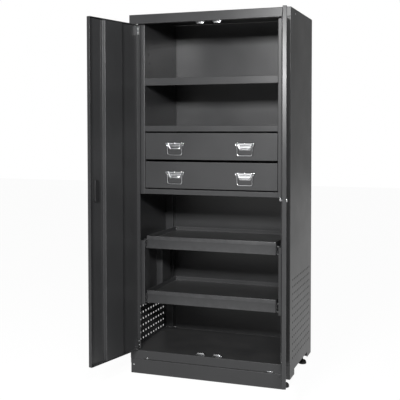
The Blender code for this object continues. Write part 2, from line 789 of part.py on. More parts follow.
def inner_slide(name, side, finish, base):
    """Inner slide member, a channel on the tray's side that runs inside the outer one."""
    inner = side * (TRAY_HALF + GAP)
    outer = inner + side * INNER_SLIDE_FLANGE
    low = SHEET + SLIDE_CLEARANCE
    high = SLIDE_HEIGHT - SHEET - SLIDE_CLEARANCE
    path = ((outer, low), (inner, low), (inner, high), (outer, high))
    rear = SLIDE_SETBACK + SLIDE_LENGTH
    make_prism(name, fold(path, -side * SHEET), "Y", SLIDE_SETBACK, rear, finish, base)


# Doors, drawn closed, with U measured from the pivot towards the free edge


def door_base(side, turn, cabinet):
    """The pivot axis of a door, turned to where the door stands open."""
    base = make_empty(f"{side_name(side)}_door_hinge", (side * PIVOT_X, PIVOT_DEPTH, 0), cabinet)
    base.rotation_euler = (0, 0, side * turn)
    return base


def door_skin(side, pull_height, finish, base):
    """Door pan with the holes for its pivots and its recessed pull."""
    ends_u = sorted((side * PIVOT_FROM_EDGE, -side * FREE_EDGE))
    low = (ends_u[0], DOOR_OUTER, DOOR_BOTTOM)
    high = (ends_u[1], DOOR_INNER, DOOR_TOP)
    skin = make_pan(f"{side_name(side)}_door_skin", low, high, "+Y", DOOR_SHEET, finish, base)
    cuts = bmesh.new()
    pin = circle((0, 0), PIN_RADIUS + GAP, PIN_SEGMENTS)
    add_prism(cuts, pin, "Z", DOOR_TOP - 2 * DOOR_SHEET, DOOR_TOP + DOOR_SHEET)
    add_prism(cuts, pin, "Z", DOOR_BOTTOM - DOOR_SHEET, DOOR_BOTTOM + 2 * DOOR_SHEET)
    pull_x = -side * (FREE_EDGE - PULL_FROM_EDGE)
    half = PULL_WIDTH / 2 + GAP
    hole_low = (pull_x - half, DOOR_OUTER - DOOR_SHEET, PULL_TOP - pull_height - GAP)
    add_box(cuts, hole_low, (pull_x + half, DOOR_OUTER + 2 * DOOR_SHEET, PULL_TOP + GAP))
    combine(skin, make_object("door_cuts", cuts, finish, base), "DIFFERENCE")
    return skin


def door_stiffener(side, finish, base):
    """Wide hat section on the inside of a door skin."""
    start = STIFFENER_FROM_EDGE - PIVOT_FROM_EDGE
    end = FREE_EDGE - STIFFENER_FROM_FREE_EDGE
    seat = SKIN_INSIDE + GAP + DOOR_SHEET
    crest = DOOR_INNER - STIFFENER_RIM_GAP
    profile = (
        (start, seat),
        (start + STIFFENER_FLANGE, seat),
        (start + STIFFENER_FLANGE + STIFFENER_SLOPE, crest),
        (end - STIFFENER_FLANGE - STIFFENER_SLOPE, crest),
        (end - STIFFENER_FLANGE, seat),
        (end, seat),
    )
    path = [(-side * u, v) for u, v in profile]
    low = DOOR_BOTTOM + DOOR_SHEET + STIFFENER_END_GAP
    high = DOOR_TOP - DOOR_SHEET - STIFFENER_END_GAP
    make_prism(f"{side_name(side)}_door_stiffener", fold(path, side * DOOR_SHEET), "Z", low, high, finish, base)


def door_pull(side, height, finish, base):
    """Recessed pull: a cup sunk in the door with a rim on the door's outer face."""
    pull_x = -side * (FREE_EDGE - PULL_FROM_EDGE)
    low = (pull_x - PULL_WIDTH / 2, DOOR_OUTER - GAP, PULL_TOP - height)
    high = (pull_x + PULL_WIDTH / 2, DOOR_OUTER + PULL_DEPTH, PULL_TOP)
    make_pan(f"{side_name(side)}_door_pull", low, high, "-Y", PULL_SHEET, finish, base, rim=PULL_RIM)


def door_pivot(side, end, finish, base):
    """Angle bracket in a corner of the door pan, with the pin that turns in the carcass."""
    if end == "upper":
        face = DOOR_TOP - DOOR_SHEET - GAP
        tip = FASCIA_BOTTOM + SHEET + PIN_STANDOUT
        inward = -1
    else:
        face = DOOR_BOTTOM + DOOR_SHEET + GAP
        tip = FLOOR_TOP - SHEET - PIN_STANDOUT
        inward = 1
    edge = -PIVOT_FROM_EDGE + DOOR_SHEET + GAP
    profile = ((edge + PIVOT_ARM, face), (edge, face), (edge, face + inward * PIVOT_LEAF))
    path = [(-side * u, z) for u, z in profile]
    outline = fold(path, side * inward * PIVOT_SHEET)
    half = PIVOT_WIDTH / 2
    bracket = make_prism(f"{side_name(side)}_door_{end}_pivot", outline, "Y", -half, half, finish, base)
    levels = sorted((face + inward * PIVOT_SHEET / 2, tip))
    pin = make_prism("pin", circle((0, 0), PIN_RADIUS, PIN_SEGMENTS), "Z", *levels, finish, base)
    combine(bracket, pin, "UNION")


def door_lock(skin, side, chrome, zinc, base):
    """Lock barrel through the door, below its pull, and the cam behind it.

    The cam's tongue points away from the free edge when unlocked, and half a turn takes it past that edge.
    """
    x = -side * (FREE_EDGE - LOCK_FROM_EDGE)
    z = PULL_TOP - RIGHT_PULL_HEIGHT - LOCK_DROP
    hole = circle((x, z), LOCK_RADIUS + GAP, ROUND_SEGMENTS)
    levels = (DOOR_OUTER - DOOR_SHEET, DOOR_OUTER + 2 * DOOR_SHEET)
    combine(skin, make_prism("lock_hole", hole, "Y", *levels, chrome, base), "DIFFERENCE")
    seat = DOOR_OUTER - GAP
    rear = DOOR_INNER + CAM_PROUD
    profile = (
        (LOCK_HEAD_RADIUS, seat - LOCK_HEAD),
        (LOCK_HEAD_RADIUS, seat),
        (LOCK_RADIUS, seat),
        (LOCK_RADIUS, rear),
    )
    make_turned("lock_barrel", profile, "Y", ROUND_SEGMENTS, chrome, base, centre=(x, z))
    turn = make_empty("lock_cam_turn", (x, rear, z), base)
    start = math.asin(CAM_WIDTH / 2 / CAM_BOSS)
    outline = [(side * CAM_LENGTH, -CAM_WIDTH / 2), (side * CAM_LENGTH, CAM_WIDTH / 2)]
    for step in range(PIN_SEGMENTS + 1):
        angle = start + (2 * math.pi - 2 * start) * step / PIN_SEGMENTS
        outline.append((side * CAM_BOSS * math.cos(angle), CAM_BOSS * math.sin(angle)))
    make_prism("lock_cam", outline, "Y", GAP, GAP + CAM_SHEET, zinc, turn)


def magnet_catch(name, seat, inward, finish, cabinet):
    """Two magnets on one bar, which the free corners of both doors close against."""
    outer = (CATCH_SPACING + CATCH_MAGNET) / 2
    inner = (CATCH_SPACING - CATCH_MAGNET) / 2
    half = outer + CATCH_EAR
    bar = seat + inward * CATCH_BASE
    end = seat + inward * CATCH_HEIGHT
    outline = (
        (-half, seat),
        (half, seat),
        (half, bar),
        (outer, bar),
        (outer, end),
        (inner, end),
        (inner, bar),
        (-inner, bar),
        (-inner, end),
        (-outer, end),
        (-outer, bar),
        (-half, bar),
    )
    front = DOOR_THICKNESS + CATCH_CLEARANCE
    make_prism(name, outline, "Y", front, front + CATCH_LENGTH, finish, cabinet)


def build():
    for item in list(bpy.data.objects):
        bpy.data.objects.remove(item, do_unlink=True)
    coat = make_material("charcoal_powder_coat", (0.045, 0.0455, 0.047), 0.34, 0.0)
    zinc = make_material("zinc_plate", (0.62, 0.63, 0.64), 0.34, 1.0)
    chrome = make_material("bright_chrome", (0.80, 0.81, 0.82), 0.12, 1.0)
    black = make_material("black_moulding", (0.015, 0.015, 0.016), 0.50, 0.0)
    rubber = make_material("foot_rubber", (0.02, 0.02, 0.021), 0.70, 0.0)
    cabinet = make_empty("cabinet", (0, FRONT_Y, 0), None)

    for side in (-1, 1):
        side_panel(side, coat, cabinet)
        front_stile(side, coat, cabinet)
        rear_post(side, coat, cabinet)
        liner(side, coat, cabinet)
        tray_carrier(side, coat, cabinet)
    back_panel(coat, cabinet)
    top_panel(coat, cabinet)
    floor_panel(coat, cabinet)
    kick_plate(coat, cabinet)
    shelf("upper_shelf", UPPER_SHELF_TOP, UPPER_SHELF_FOLD, coat, cabinet)
    shelf("drawer_bay_shelf", BAY_SHELF_TOP, BAY_SHELF_FOLD, coat, cabinet)
    shelf("drawer_bay_bottom", BAY_BOTTOM_TOP, BAY_BOTTOM_FOLD, coat, cabinet)
    magnet_catch("upper_catch", FASCIA_BOTTOM - GAP, -1, zinc, cabinet)
    magnet_catch("lower_catch", FLOOR_TOP + GAP, 1, zinc, cabinet)
    for corner, side, x, y in foot_places():
        levelling_foot(corner, x, y, rubber, cabinet)

    for level, bottom in (("upper", UPPER_DRAWER_BOTTOM), ("lower", LOWER_DRAWER_BOTTOM)):
        base = drawer(f"{level}_drawer", bottom, coat, cabinet)
        for side in (-1, 1):
            place = f"{level}_{side_name(side)}"
            drawer_runner(f"{place}_drawer_runner", side, bottom, zinc, cabinet)
            handle_plate(f"{place}_handle_plate", side * HANDLE_OFFSET, chrome, base)
            handle_bail(f"{place}_handle_bail", side * HANDLE_OFFSET, chrome, base)

    for level, bottom in (("upper", UPPER_TRAY_BOTTOM), ("lower", LOWER_TRAY_BOTTOM)):
        base = tray(f"{level}_tray", bottom, coat, cabinet)
        for side in (-1, 1):
            place = f"{level}_{side_name(side)}"
            fixed_slide(f"{place}_fixed_slide", side, bottom, zinc, cabinet)
            inner_slide(f"{place}_inner_slide", side, zinc, base)

    for side, turn, pull_height in ((-1, LEFT_OPEN, LEFT_PULL_HEIGHT), (1, RIGHT_OPEN, RIGHT_PULL_HEIGHT)):
        base = door_base(side, turn, cabinet)
        skin = door_skin(side, pull_height, coat, base)
        door_stiffener(side, coat, base)
        door_pull(side, pull_height, black, base)
        door_pivot(side, "upper", zinc, base)
        door_pivot(side, "lower", zinc, base)
        if side > 0:
            door_lock(skin, side, chrome, zinc, base)


build()
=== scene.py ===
"""Dressed model of a tall two-door steel tool cabinet, built around its packed frame.

Sheet pieces are folded sections carried along an axis, pans and blocks are rounded-rectangle loops, and the
fittings are turned, lofted or tube surfaces. Every shape is worked out as whole arrays, in metres, in the
frame of the packed model: X across the front, Y from the front to the back, Z up.
"""

import json
import math

import bpy
import numpy as np
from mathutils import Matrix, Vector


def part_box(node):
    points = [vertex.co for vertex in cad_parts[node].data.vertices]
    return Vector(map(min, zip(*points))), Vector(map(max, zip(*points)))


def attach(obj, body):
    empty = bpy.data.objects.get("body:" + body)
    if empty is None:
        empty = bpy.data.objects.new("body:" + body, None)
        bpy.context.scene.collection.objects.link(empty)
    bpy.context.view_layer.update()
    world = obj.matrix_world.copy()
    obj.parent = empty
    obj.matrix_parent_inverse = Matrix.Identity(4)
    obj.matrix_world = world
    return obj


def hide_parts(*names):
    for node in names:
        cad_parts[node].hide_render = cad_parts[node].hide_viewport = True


bl_info = {
    "name": "Workshop tool cabinet",
    "version": (1, 0, 0),
    "blender": (4, 5, 0),
    "location": "3D View > Sidebar > Cabinet",
    "description": "Builds the folded sheets, fittings and finishes of a two-door tool cabinet",
    "category": "Object",
}

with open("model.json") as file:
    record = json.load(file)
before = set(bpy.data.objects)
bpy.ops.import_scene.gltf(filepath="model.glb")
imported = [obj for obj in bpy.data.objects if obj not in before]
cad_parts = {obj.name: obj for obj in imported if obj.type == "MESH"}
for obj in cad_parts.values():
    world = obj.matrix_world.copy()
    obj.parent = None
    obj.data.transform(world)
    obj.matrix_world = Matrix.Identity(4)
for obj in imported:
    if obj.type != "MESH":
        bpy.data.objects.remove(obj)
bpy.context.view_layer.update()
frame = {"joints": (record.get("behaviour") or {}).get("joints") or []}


def span(node):
    """Lowest and highest corner of a packed node, as two rows."""
    return np.array([list(corner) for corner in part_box(node)])


def joint(name):
    """A joint of the packed record, by its name."""
    return next(item for item in frame["joints"] if item["name"] == name)


SIDES = ((-1, "left"), (1, "right"))
LEVELS = ("upper", "lower")
INWARD = (("upper", -1), ("lower", 1))  # ends of the doorway, and the way from each to its middle
AXES = {"X": (1, 2, 0), "Y": (0, 2, 1), "Z": (0, 1, 2)}  # a section's two axes, and the one it runs along
RIGHT, BACK, UP, FORWARD = (1, 0, 0), (0, 1, 0), (0, 0, 1), (0, -1, 0)
SHEET = 0.0015  # sheet of the carcass
THIN = 0.0012  # sheet of the doors, drawer boxes and trays
GAP = 0.0003  # fit between separate pieces
BAND = 0.0015  # width of the flat strip beside a bend or a cut end
FOLD_END = 0.002  # a section's cells further than this from the front are past the front's bend

FRONT = span("top_panel")[0, 1]
HALF, REAR = span("right_side_panel")[1, :2]
LEG_BOTTOM, SIDE_TOP = span("right_side_panel")[:, 2]
FASCIA_BOTTOM, ROOF = span("top_panel")[:, 2]
FLOOR_TOP = span("floor_panel")[1, 2]
TRIM = HALF - SHEET - GAP  # just inside the side sheets
LINER = HALF - 0.0765  # inner faces of the upper module's walls
SETBACK = FRONT + 0.035  # front of the module's walls and the tray carriers
NOTCH = 0.087  # top of the notch between the legs

PIVOT_X, PIVOT_Y = joint("right_door_hinge")["pos_m"][:2]
OPEN = {side: math.radians(-joint(f"{name}_door_hinge")["range_deg"][0]) for side, name in SIDES}
DOOR_BOTTOM, DOOR_TOP = span("left_door_skin")[:, 2]
DOOR_OUTER, DOOR_INNER = -0.011, 0.009  # door's faces, from its pivot
HINGE_EDGE, FREE_EDGE = -0.010, 0.4115  # door's upright edges, from its pivot
PULL_U, PULL_TOP = FREE_EDGE - 0.060, 1.108
PULL_HEIGHT = {-1: 0.114, 1: 0.052}
LOCK_U, LOCK_Z = FREE_EDGE - 0.035, PULL_TOP - PULL_HEIGHT[1] - 0.020


# Sizes, finishes and stage that a user may change


def length(name, description, default):
    """A length that a user may change."""
    return bpy.props.FloatProperty(
        name=name, description=description, default=default, unit="LENGTH", precision=4
    )


def colour(name, description, default):
    """A colour that a user may change."""
    return bpy.props.FloatVectorProperty(name=name, description=description, default=default, subtype="COLOR")


def pair(name, description, default, unit="LENGTH"):
    """Two like values that a user may change."""
    return bpy.props.FloatVectorProperty(
        name=name, description=description, default=default, size=2, unit=unit
    )


def spot(name, description, default):
    """A place that a user may change."""
    return bpy.props.FloatVectorProperty(name=name, description=description, default=default, subtype="XYZ")


class CabinetSizes(bpy.types.PropertyGroup):
    """Sizes of the bends, holes and wires"""

    bend: length("Bend radius", "Inside radius of the sheet's bends", 0.0012)
    cut_edge: length("Cut edge", "Width of the softened cut edges", 0.0003)
    peg_pitch: length("Hole pitch", "Distance between the sides' square holes", 0.038)
    peg_hole: length("Hole width", "Width of the sides' square holes", 0.010)
    wire: length("Bail wire", "Radius of the drawer handles' wire", 0.003)
    tray_depth: length("Tray depth", "Depth of the trays, from rim to floor", 0.0235)
    hem: length("Tray hem", "Height of the hem round the trays", 0.022)
    hem_lap: length("Hem lap", "How far the hem stands out from the trays", 0.002)


class CabinetFinishes(bpy.types.PropertyGroup):
    """Colours of the finishes and the marks on them"""

    coat: colour("Powder coat", "Colour of the painted sheet", (0.045, 0.0455, 0.047))
    rubbed: colour("Rubbed coat", "Colour of the paint on rubbed bends", (0.11, 0.11, 0.113))
    dust: colour("Dust", "Colour of settled dust", (0.30, 0.29, 0.27))
    zinc: colour("Zinc", "Colour of the plated fittings", (0.66, 0.67, 0.68))
    # Pivot zinc is the pins' zinc drawn darker, as painted shade for the dark surroundings that the pivot
    # brackets reflect
    pivot: colour("Pivot zinc", "Colour of the dulled zinc on the pivots", (0.26, 0.264, 0.27))
    chrome: colour("Chrome", "Colour of the polished handles", (0.80, 0.81, 0.82))
    # The moulding colour also paints the lock's keyway block, as painted shade inside its slot
    moulding: colour("Moulding", "Colour of the recessed pulls", (0.020, 0.020, 0.021))
    rubber: colour("Rubber", "Colour of the foot pads", (0.024, 0.024, 0.024))
    wear: bpy.props.FloatProperty(
        name="Wear", description="How far the bends are rubbed", default=0.35, min=0, max=1, subtype="FACTOR"
    )


class CabinetStage(bpy.types.PropertyGroup):
    """Camera, lamps and background"""

    lens: bpy.props.FloatProperty(name="Lens", description="Focal length in millimetres", default=70.16)
    camera: spot("Camera", "Place of the camera", (1.3729, FRONT - 3.9537, 1.3808))
    heading: bpy.props.FloatVectorProperty(
        name="Heading",
        description="Turns of the camera",
        default=(math.radians(87.872), math.radians(0.07), math.radians(19.679)),
        subtype="EULER",
    )
    rise: bpy.props.FloatProperty(name="Rise", description="Vertical shift of the lens", default=-0.11)
    lamp_power: pair("Lamps", "Powers of the soft lamps, left and right", (92, 83), "POWER")
    lamp_row: pair("Lamp row", "Places of the lamps across the front", (0.2, 1.4))
    lamp_distance: length("Lamp distance", "Distance of the lamps from the front", 3.5)
    lamp_height: length("Lamp height", "Height of the lamps' middles", 2.34)
    lamp_size: pair("Lamp size", "Width and height of each lamp", (0.70, 0.40))
    card_power: bpy.props.FloatProperty(
        name="Card", description="Power of the dim pale card low on the left", default=4.6, unit="POWER"
    )
    card_place: spot("Card place", "Place of the card's middle", (-0.75, FRONT - 4.0, 0.95))
    card_size: pair("Card size", "Width and height of the card", (1.3, 0.9))
    ambient: bpy.props.FloatProperty(
        name="Ambient", description="Level of the light from all round", default=0.006
    )
    surround: bpy.props.FloatProperty(
        name="Surround",
        description="Level that polished metal shows away from the white backdrop",
        default=0.04,
    )


# Shapes, as parts: points, faces of one size each, and wear from nought to one


def unit(vectors):
    """Vectors divided by their lengths."""
    return vectors / np.linalg.norm(vectors, axis=-1, keepdims=True)


def middles(values):
    """Halfway points between neighbours."""
    return (values[1:] + values[:-1]) / 2


def quarter(steps):
    """Angles from nought to a right angle."""
    return np.linspace(0, np.pi / 2, steps)


def bent_line(corners, radius, thickness=0.0, steps=6, band=BAND):
    """A section of straight runs joined by bends, as points, normals on its left and wear.

    A corner is cut back along both runs by the bend's radius times the tangent of half its turn. From there
    the bend's points are the start plus the radius times (sine along the run, one less cosine to the inside).
    Where the sheet's thickness lies inside the bend, it is added to the radius. Wear is one on bends and cut
    ends.
    """
    corners = np.asarray(corners, float)
    run = unit(np.diff(corners, axis=0))
    before, after = run[:-1, None], run[1:, None]
    left = np.stack([-before[..., 1], before[..., 0]], -1)
    turn = np.arctan2((left * after).sum(-1), (before * after).sum(-1))
    bend = np.reshape(radius, (-1, 1)) + abs(thickness) * (turn * thickness > 0)
    inward = left * np.sign(turn)[..., None]
    start = corners[1:-1, None] - before * (bend * np.tan(np.abs(turn) / 2))[..., None]
    phase = (np.abs(turn) * np.linspace(0, 1, steps))[..., None]
    arc = start + bend[..., None] * (before * np.sin(phase) + inward * (1 - np.cos(phase)))
    heading = before * np.cos(phase) + inward * np.sin(phase)
    arc = np.concatenate([start - before * band, arc, arc[:, -1:] + after * band], 1)
    heading = np.concatenate([before, heading, after], 1)
    tips = corners[[0, 0, -1, -1]] + run[[0, 0, -1, -1]] * np.array([[0], [band], [-band], [0]])
    points = np.concatenate([tips[:2], arc.reshape(-1, 2), tips[2:]])
    heading = np.concatenate([run[[0, 0]], heading.reshape(-1, 2), run[[-1, -1]]])
    normals = np.stack([-heading[:, 1], heading[:, 0]], -1)
    wear = np.concatenate([[1, 0], np.tile(np.r_[0, np.ones(steps), 0], len(turn)), [0, 1]])
    return points, normals, wear


def refined(line, from_end, least=2e-5):
    """A section with more points, at these lengths before its end, in proportion between its old points.
    Points nearer than the least length to the one before are left out.
    """
    points, normals, wear = line
    run = np.r_[0, np.cumsum(np.linalg.norm(np.diff(points, axis=0), axis=1))]
    wanted = np.unique(np.round(np.r_[run, run[-1] - np.asarray(from_end)], 7))
    wanted = wanted[np.r_[True, np.diff(wanted) > least]]
    table = np.stack([np.interp(wanted, run, column) for column in np.c_[points, normals, wear].T], 1)
    return table[:, :2], table[:, 2:4], table[:, 4]


def between(start, end):
    """Levels of a swept sheet: its two ends, and a narrow band inside each."""
    band = BAND * np.sign(end - start)
    return np.array([start, start + band, end - band, end])


def swept(line, thickness, axis, levels):
    """The two faces of a folded sheet: the section, and the section moved by the thickness along its normals,
    each repeated at every level along the axis. The section lies in the other two axes, in X, Y, Z order.
    """
    points, normals, wear = line
    first, second, along = AXES[axis]
    faces = np.empty((2, len(points), len(levels), 3))
    both = np.stack([points, points + thickness * normals])
    faces[..., first] = both[..., 0, None]
    faces[..., second] = both[..., 1, None]
    faces[..., along] = levels
    tips = np.zeros(len(levels))
    tips[[0, -1]] = 1
    return faces[0], faces[1], np.maximum.outer(wear, tips)


def shell(face, back, wear, keep=None, border=True):
    """A closed sheet between two like grids: the kept cells of both, and a wall along each edge that has a
    kept cell on one side only. Without a border, the outermost edges get no wall.
    """
    rows, columns = face.shape[:2]
    index = np.arange(rows * columns).reshape(rows, columns)
    if keep is None:
        keep = np.ones((rows - 1, columns - 1), bool)
    cells = np.stack([index[:-1, :-1], index[:-1, 1:], index[1:, 1:], index[1:, :-1]], -1)[keep]
    mode = "constant" if border else "edge"
    across = np.pad(keep, ((1, 1), (0, 0)), mode=mode)
    upright = np.pad(keep, ((0, 0), (1, 1)), mode=mode)
    edges = [
        np.stack([index[:, 1:], index[:, :-1]], -1)[across[1:] & ~across[:-1]],
        np.stack([index[:, :-1], index[:, 1:]], -1)[across[:-1] & ~across[1:]],
        np.stack([index[:-1], index[1:]], -1)[upright[:, 1:] & ~upright[:, :-1]],
        np.stack([index[1:], index[:-1]], -1)[upright[:, :-1] & ~upright[:, 1:]],
    ]
    edges = np.concatenate(edges)
    count = rows * columns
    walls = np.concatenate([edges, edges[:, ::-1] + count], 1)
    quads = np.concatenate([cells, cells[:, ::-1] + count, walls])
    points = np.concatenate([face.reshape(-1, 3), back.reshape(-1, 3)])
    return points, [quads], np.tile(np.ravel(wear), 2)


def bend_radius():
    """Inside radius of the sheet's bends."""
    return bpy.context.scene.cabinet_sizes.bend


def folded(corners, thickness, axis, start, end):
    """A folded sheet: the bent section carried along an axis, closed at its edges."""
    line = bent_line(corners, bend_radius(), thickness)
    return shell(*swept(line, thickness, axis, between(start, end)))


def pierced(corners, thickness, ends, columns, rows, hole, cuts=((), ())):
    """A sheet folded upright with rows and columns of holes, as its two faces and wear, the cells to keep,
    and all the cells' middles in depth and height. The section and the levels are cut at both edges of every
    hole, of these half sizes, and at the further cuts. A cell goes where its middle lies in a column and in
    a row.
    """
    line = bent_line(corners, bend_radius(), thickness)
    line = refined(line, corners[-1][1] - np.r_[columns - hole[0], columns + hole[0], cuts[0]])
    levels = np.unique(np.r_[between(*ends), rows - hole[1], rows + hole[1], cuts[1]])
    y, z = middles(line[0][:, 1])[:, None], middles(levels)[None]
    in_column = np.abs(y[..., None] - columns).min(-1) < hole[0]
    in_row = np.abs(z[..., None] - rows).min(-1) < hole[1]
    return swept(line, thickness, "Z", levels), ~(in_column & in_row), y, z


def trimmed(corners, inside):
    """A sheet folded across the whole front. Cells whose middle (depth, height) passes the test lie inside
    the side sheets, so they end there.
    """
    line = bent_line(corners, bend_radius(), -SHEET)
    levels = np.r_[-HALF, between(-TRIM, TRIM), HALF]
    keep = ~(inside(*middles(line[0]).T)[:, None] & (np.abs(middles(levels)) > TRIM))
    return shell(*swept(line, -SHEET, "X", levels), keep)


def channel(node, side):
    """A folded channel along its node, that turns its back to this side."""
    low, high = span(node)
    near, far = (low[0], high[0])[::side]
    corners = [(near, low[2]), (far, low[2]), (far, high[2]), (near, high[2])]
    return folded(corners, side * SHEET, "Y", low[1], high[1])


def lofted(grid, wear=None):
    """A closed body from loops of points: each loop is joined to the next, and the end loops are capped."""
    count, around = grid.shape[:2]
    index = np.arange(count * around).reshape(count, around)
    after = np.roll(index, -1, axis=1)
    quads = np.stack([index[:-1], after[:-1], after[1:], index[1:]], -1).reshape(-1, 4)
    caps = np.stack([index[0, ::-1], index[-1]])
    level = np.zeros(count) if wear is None else np.asarray(wear, float)
    return grid.reshape(-1, 3), [quads, caps], np.repeat(level, around)


def loops(width, height, corner, insets, cuts=((), ()), least=2e-4, steps=5):
    """Rounded-rectangle loops about the origin, one for each inset, anticlockwise from the right-hand side.

    Four arcs, of the corner's radius less the inset, turn about points that far inside the corners. The
    straight runs between them hold points where the cuts cross them.
    """
    insets = np.asarray(insets, float)[:, None]
    radius = np.maximum(corner - insets, least)
    half_x, half_y = width / 2 - insets, height / 2 - insets
    pieces = []
    for turn, (right, up) in enumerate(((1, 1), (-1, 1), (-1, -1), (1, -1))):
        angle = quarter(steps) + turn * np.pi / 2
        x = right * (half_x - radius) + radius * np.cos(angle)
        y = up * (half_y - radius) + radius * np.sin(angle)
        pieces.append(np.stack([x, y], -1))
        marks = np.sort(np.asarray(cuts[turn % 2], float))[:: -1 if turn < 2 else 1]
        level = (up * half_y if turn % 2 == 0 else right * half_x) + 0 * marks
        marks = marks + 0 * level
        pieces.append(np.stack([marks, level] if turn % 2 == 0 else [level, marks], -1))
    return np.concatenate(pieces, 1)


def raised(flat, heights, axes, origin):
    """Loops in space: their directions along the first two axes, and each loop's height along the third."""
    grid = np.empty(flat.shape[:2] + (3,))
    grid[..., axes[0]] = flat[..., 0]
    grid[..., axes[1]] = flat[..., 1]
    grid[..., axes[2]] = np.asarray(heights, float)[:, None]
    return grid + np.asarray(origin, float)


def pan_section(depth, sheet, bend, steps=5):
    """Insets, heights and wear along a pan's section: floor, outer bend, wall, rim, inner wall, inner bend,
    floor. The outer bend is a quarter circle of the bend's radius and the sheet; the inner one is one sheet
    smaller.
    """
    angle = quarter(steps)
    outer = bend + sheet
    out_in, out_up = outer * (1 - np.sin(angle)), outer * (1 - np.cos(angle))
    in_in, in_up = sheet + bend * (1 - np.sin(angle))[::-1], sheet + bend * (1 - np.cos(angle))[::-1]
    insets = np.r_[outer + BAND, out_in, 0, 0, 0, sheet, sheet, sheet, in_in, outer + BAND]
    rim = [depth - BAND, depth, depth, depth - BAND]
    heights = np.r_[0, out_up, outer + BAND, rim, outer + BAND, in_up, sheet]
    wear = np.r_[0, np.ones(steps), 0, 0, 1, 1, 0, 0, np.zeros(steps), 0]
    return insets, heights, wear


def pan(width, height, depth, sheet, corner, axes, origin):
    """A folded pan with closed corners, about the origin, whose depth runs along the third axis."""
    insets, heights, wear = pan_section(depth, sheet, bend_radius())
    return lofted(raised(loops(width, height, corner, insets), heights, axes, origin), wear)


def block(corner, opposite, edge, steps=4):
    """A box with rounded edges between two opposite corners: loops that draw in over a quarter circle at its
    top and bottom. Its wear is a half all over.
    """
    corner, opposite = np.asarray(corner, float), np.asarray(opposite, float)
    size, middle = np.abs(opposite - corner), (corner + opposite) / 2
    draw, rise = edge * (1 - np.sin(quarter(steps))), edge * (1 - np.cos(quarter(steps)))
    heights = np.r_[rise, size[2] - rise[::-1]] - size[2] / 2
    flat = loops(size[0], size[1], edge, np.r_[draw, draw[::-1]], least=edge / 8, steps=steps)
    return lofted(raised(flat, heights, AXES["Z"], middle), np.full(len(heights), 0.5))


def rounded_outline(corners, radius, steps=5):
    """A closed outline with its corners turned to arcs, and its outward normals: a bent line that starts and
    ends halfway along its last side, without its ends.
    """
    corners = np.asarray(corners, float)
    middle = (corners[0] + corners[-1]) / 2
    closed = np.concatenate([[middle], corners, [middle]])
    points, normals, _ = bent_line(closed, radius, steps=steps, band=1e-4)
    area = (corners[:, 0] * np.roll(corners[:, 1], -1) - np.roll(corners[:, 0], -1) * corners[:, 1]).sum()
    return points[2:-2], -normals[2:-2] * np.sign(area)


def plate(corners, radius, insets, heights, origin, wear=None):
    """A flat piece with a worked edge, that faces along Y: its rounded outline, drawn in by each inset at
    each height.
    """
    points, normals = rounded_outline(corners, radius)
    flat = points[None] - normals[None] * np.asarray(insets, float)[:, None, None]
    return lofted(raised(flat, heights, AXES["Y"], origin), wear)


def turned(profile, sides, origin, direction, wear=None):
    """A turned piece that stands on the origin along the direction: each radius and level of the profile
    becomes a loop of that many sides about the Z axis, which is then turned to the direction.
    """
    radius, level = np.asarray(profile, float).T
    angle = np.arange(sides) * 2 * np.pi / sides
    x, y = np.outer(radius, np.cos(angle)), np.outer(radius, np.sin(angle))
    grid = np.stack([x, y, np.broadcast_to(level[:, None], x.shape)], -1)
    axis = unit(np.asarray(direction, float))
    side = unit(np.cross(UP if abs(axis[2]) < 0.9 else RIGHT, axis))
    turn = np.stack([side, np.cross(axis, side), axis])
    return lofted(grid @ turn + np.asarray(origin, float), wear)


def tube(path, radius, across, sides=12):
    """A round wire: circles about the path, in the plane of the constant cross direction and its normal."""
    across = unit(np.asarray(across, float))
    along = unit(np.gradient(path, axis=0))
    normal = np.cross(across, along)
    angle = np.arange(sides) * 2 * np.pi / sides
    ring = normal[:, None] * np.cos(angle)[None, :, None] + across * np.sin(angle)[None, :, None]
    return lofted(path[:, None] + radius * ring)


def hung(side):
    """Places door points, given as (from the pivot to the free edge, from the outer to the inner face, up),
    at the open door: mirrored for the right-hand door and turned about the pivot.
    """
    turn = side * OPEN[side]
    cosine, sine = math.cos(turn), math.sin(turn)

    def place(points):
        x, y = -side * points[..., 0], points[..., 1]
        out = [side * PIVOT_X + x * cosine - y * sine, PIVOT_Y + x * sine + y * cosine, points[..., 2]]
        return np.stack(out, -1)

    return place


def welded(parts):
    """One part from several that meet: points in one place become one, and a quad that loses a corner by this
    becomes a triangle.
    """
    points = np.concatenate([part[0] for part in parts])
    starts = np.cumsum([0] + [len(part[0]) for part in parts])
    _, first, inverse = np.unique(np.round(points, 6), axis=0, return_index=True, return_inverse=True)
    quads = np.concatenate([face + start for part, start in zip(parts, starts) for face in part[1]])
    quads = inverse.reshape(-1)[quads]
    same = quads == np.roll(quads, -1, axis=1)
    triangles = quads[same.sum(1) == 1]
    triangles = triangles[~same[same.sum(1) == 1]].reshape(-1, 3)
    wear = np.concatenate([part[2] for part in parts])
    return points[first], [quads[~same.any(1)], triangles], wear[first]


def outward(part):
    """A closed part with its faces turned so that the volume inside them is positive."""
    points, faces, wear = part
    centred = points - points.mean(0)
    volume = 0.0
    for face in faces:
        first, second, third = centred[face[:, :1]], centred[face[:, 1:-1]], centred[face[:, 2:]]
        volume += (first * np.cross(second, third)).sum()
    return points, faces if volume > 0 else [face[:, ::-1] for face in faces], wear


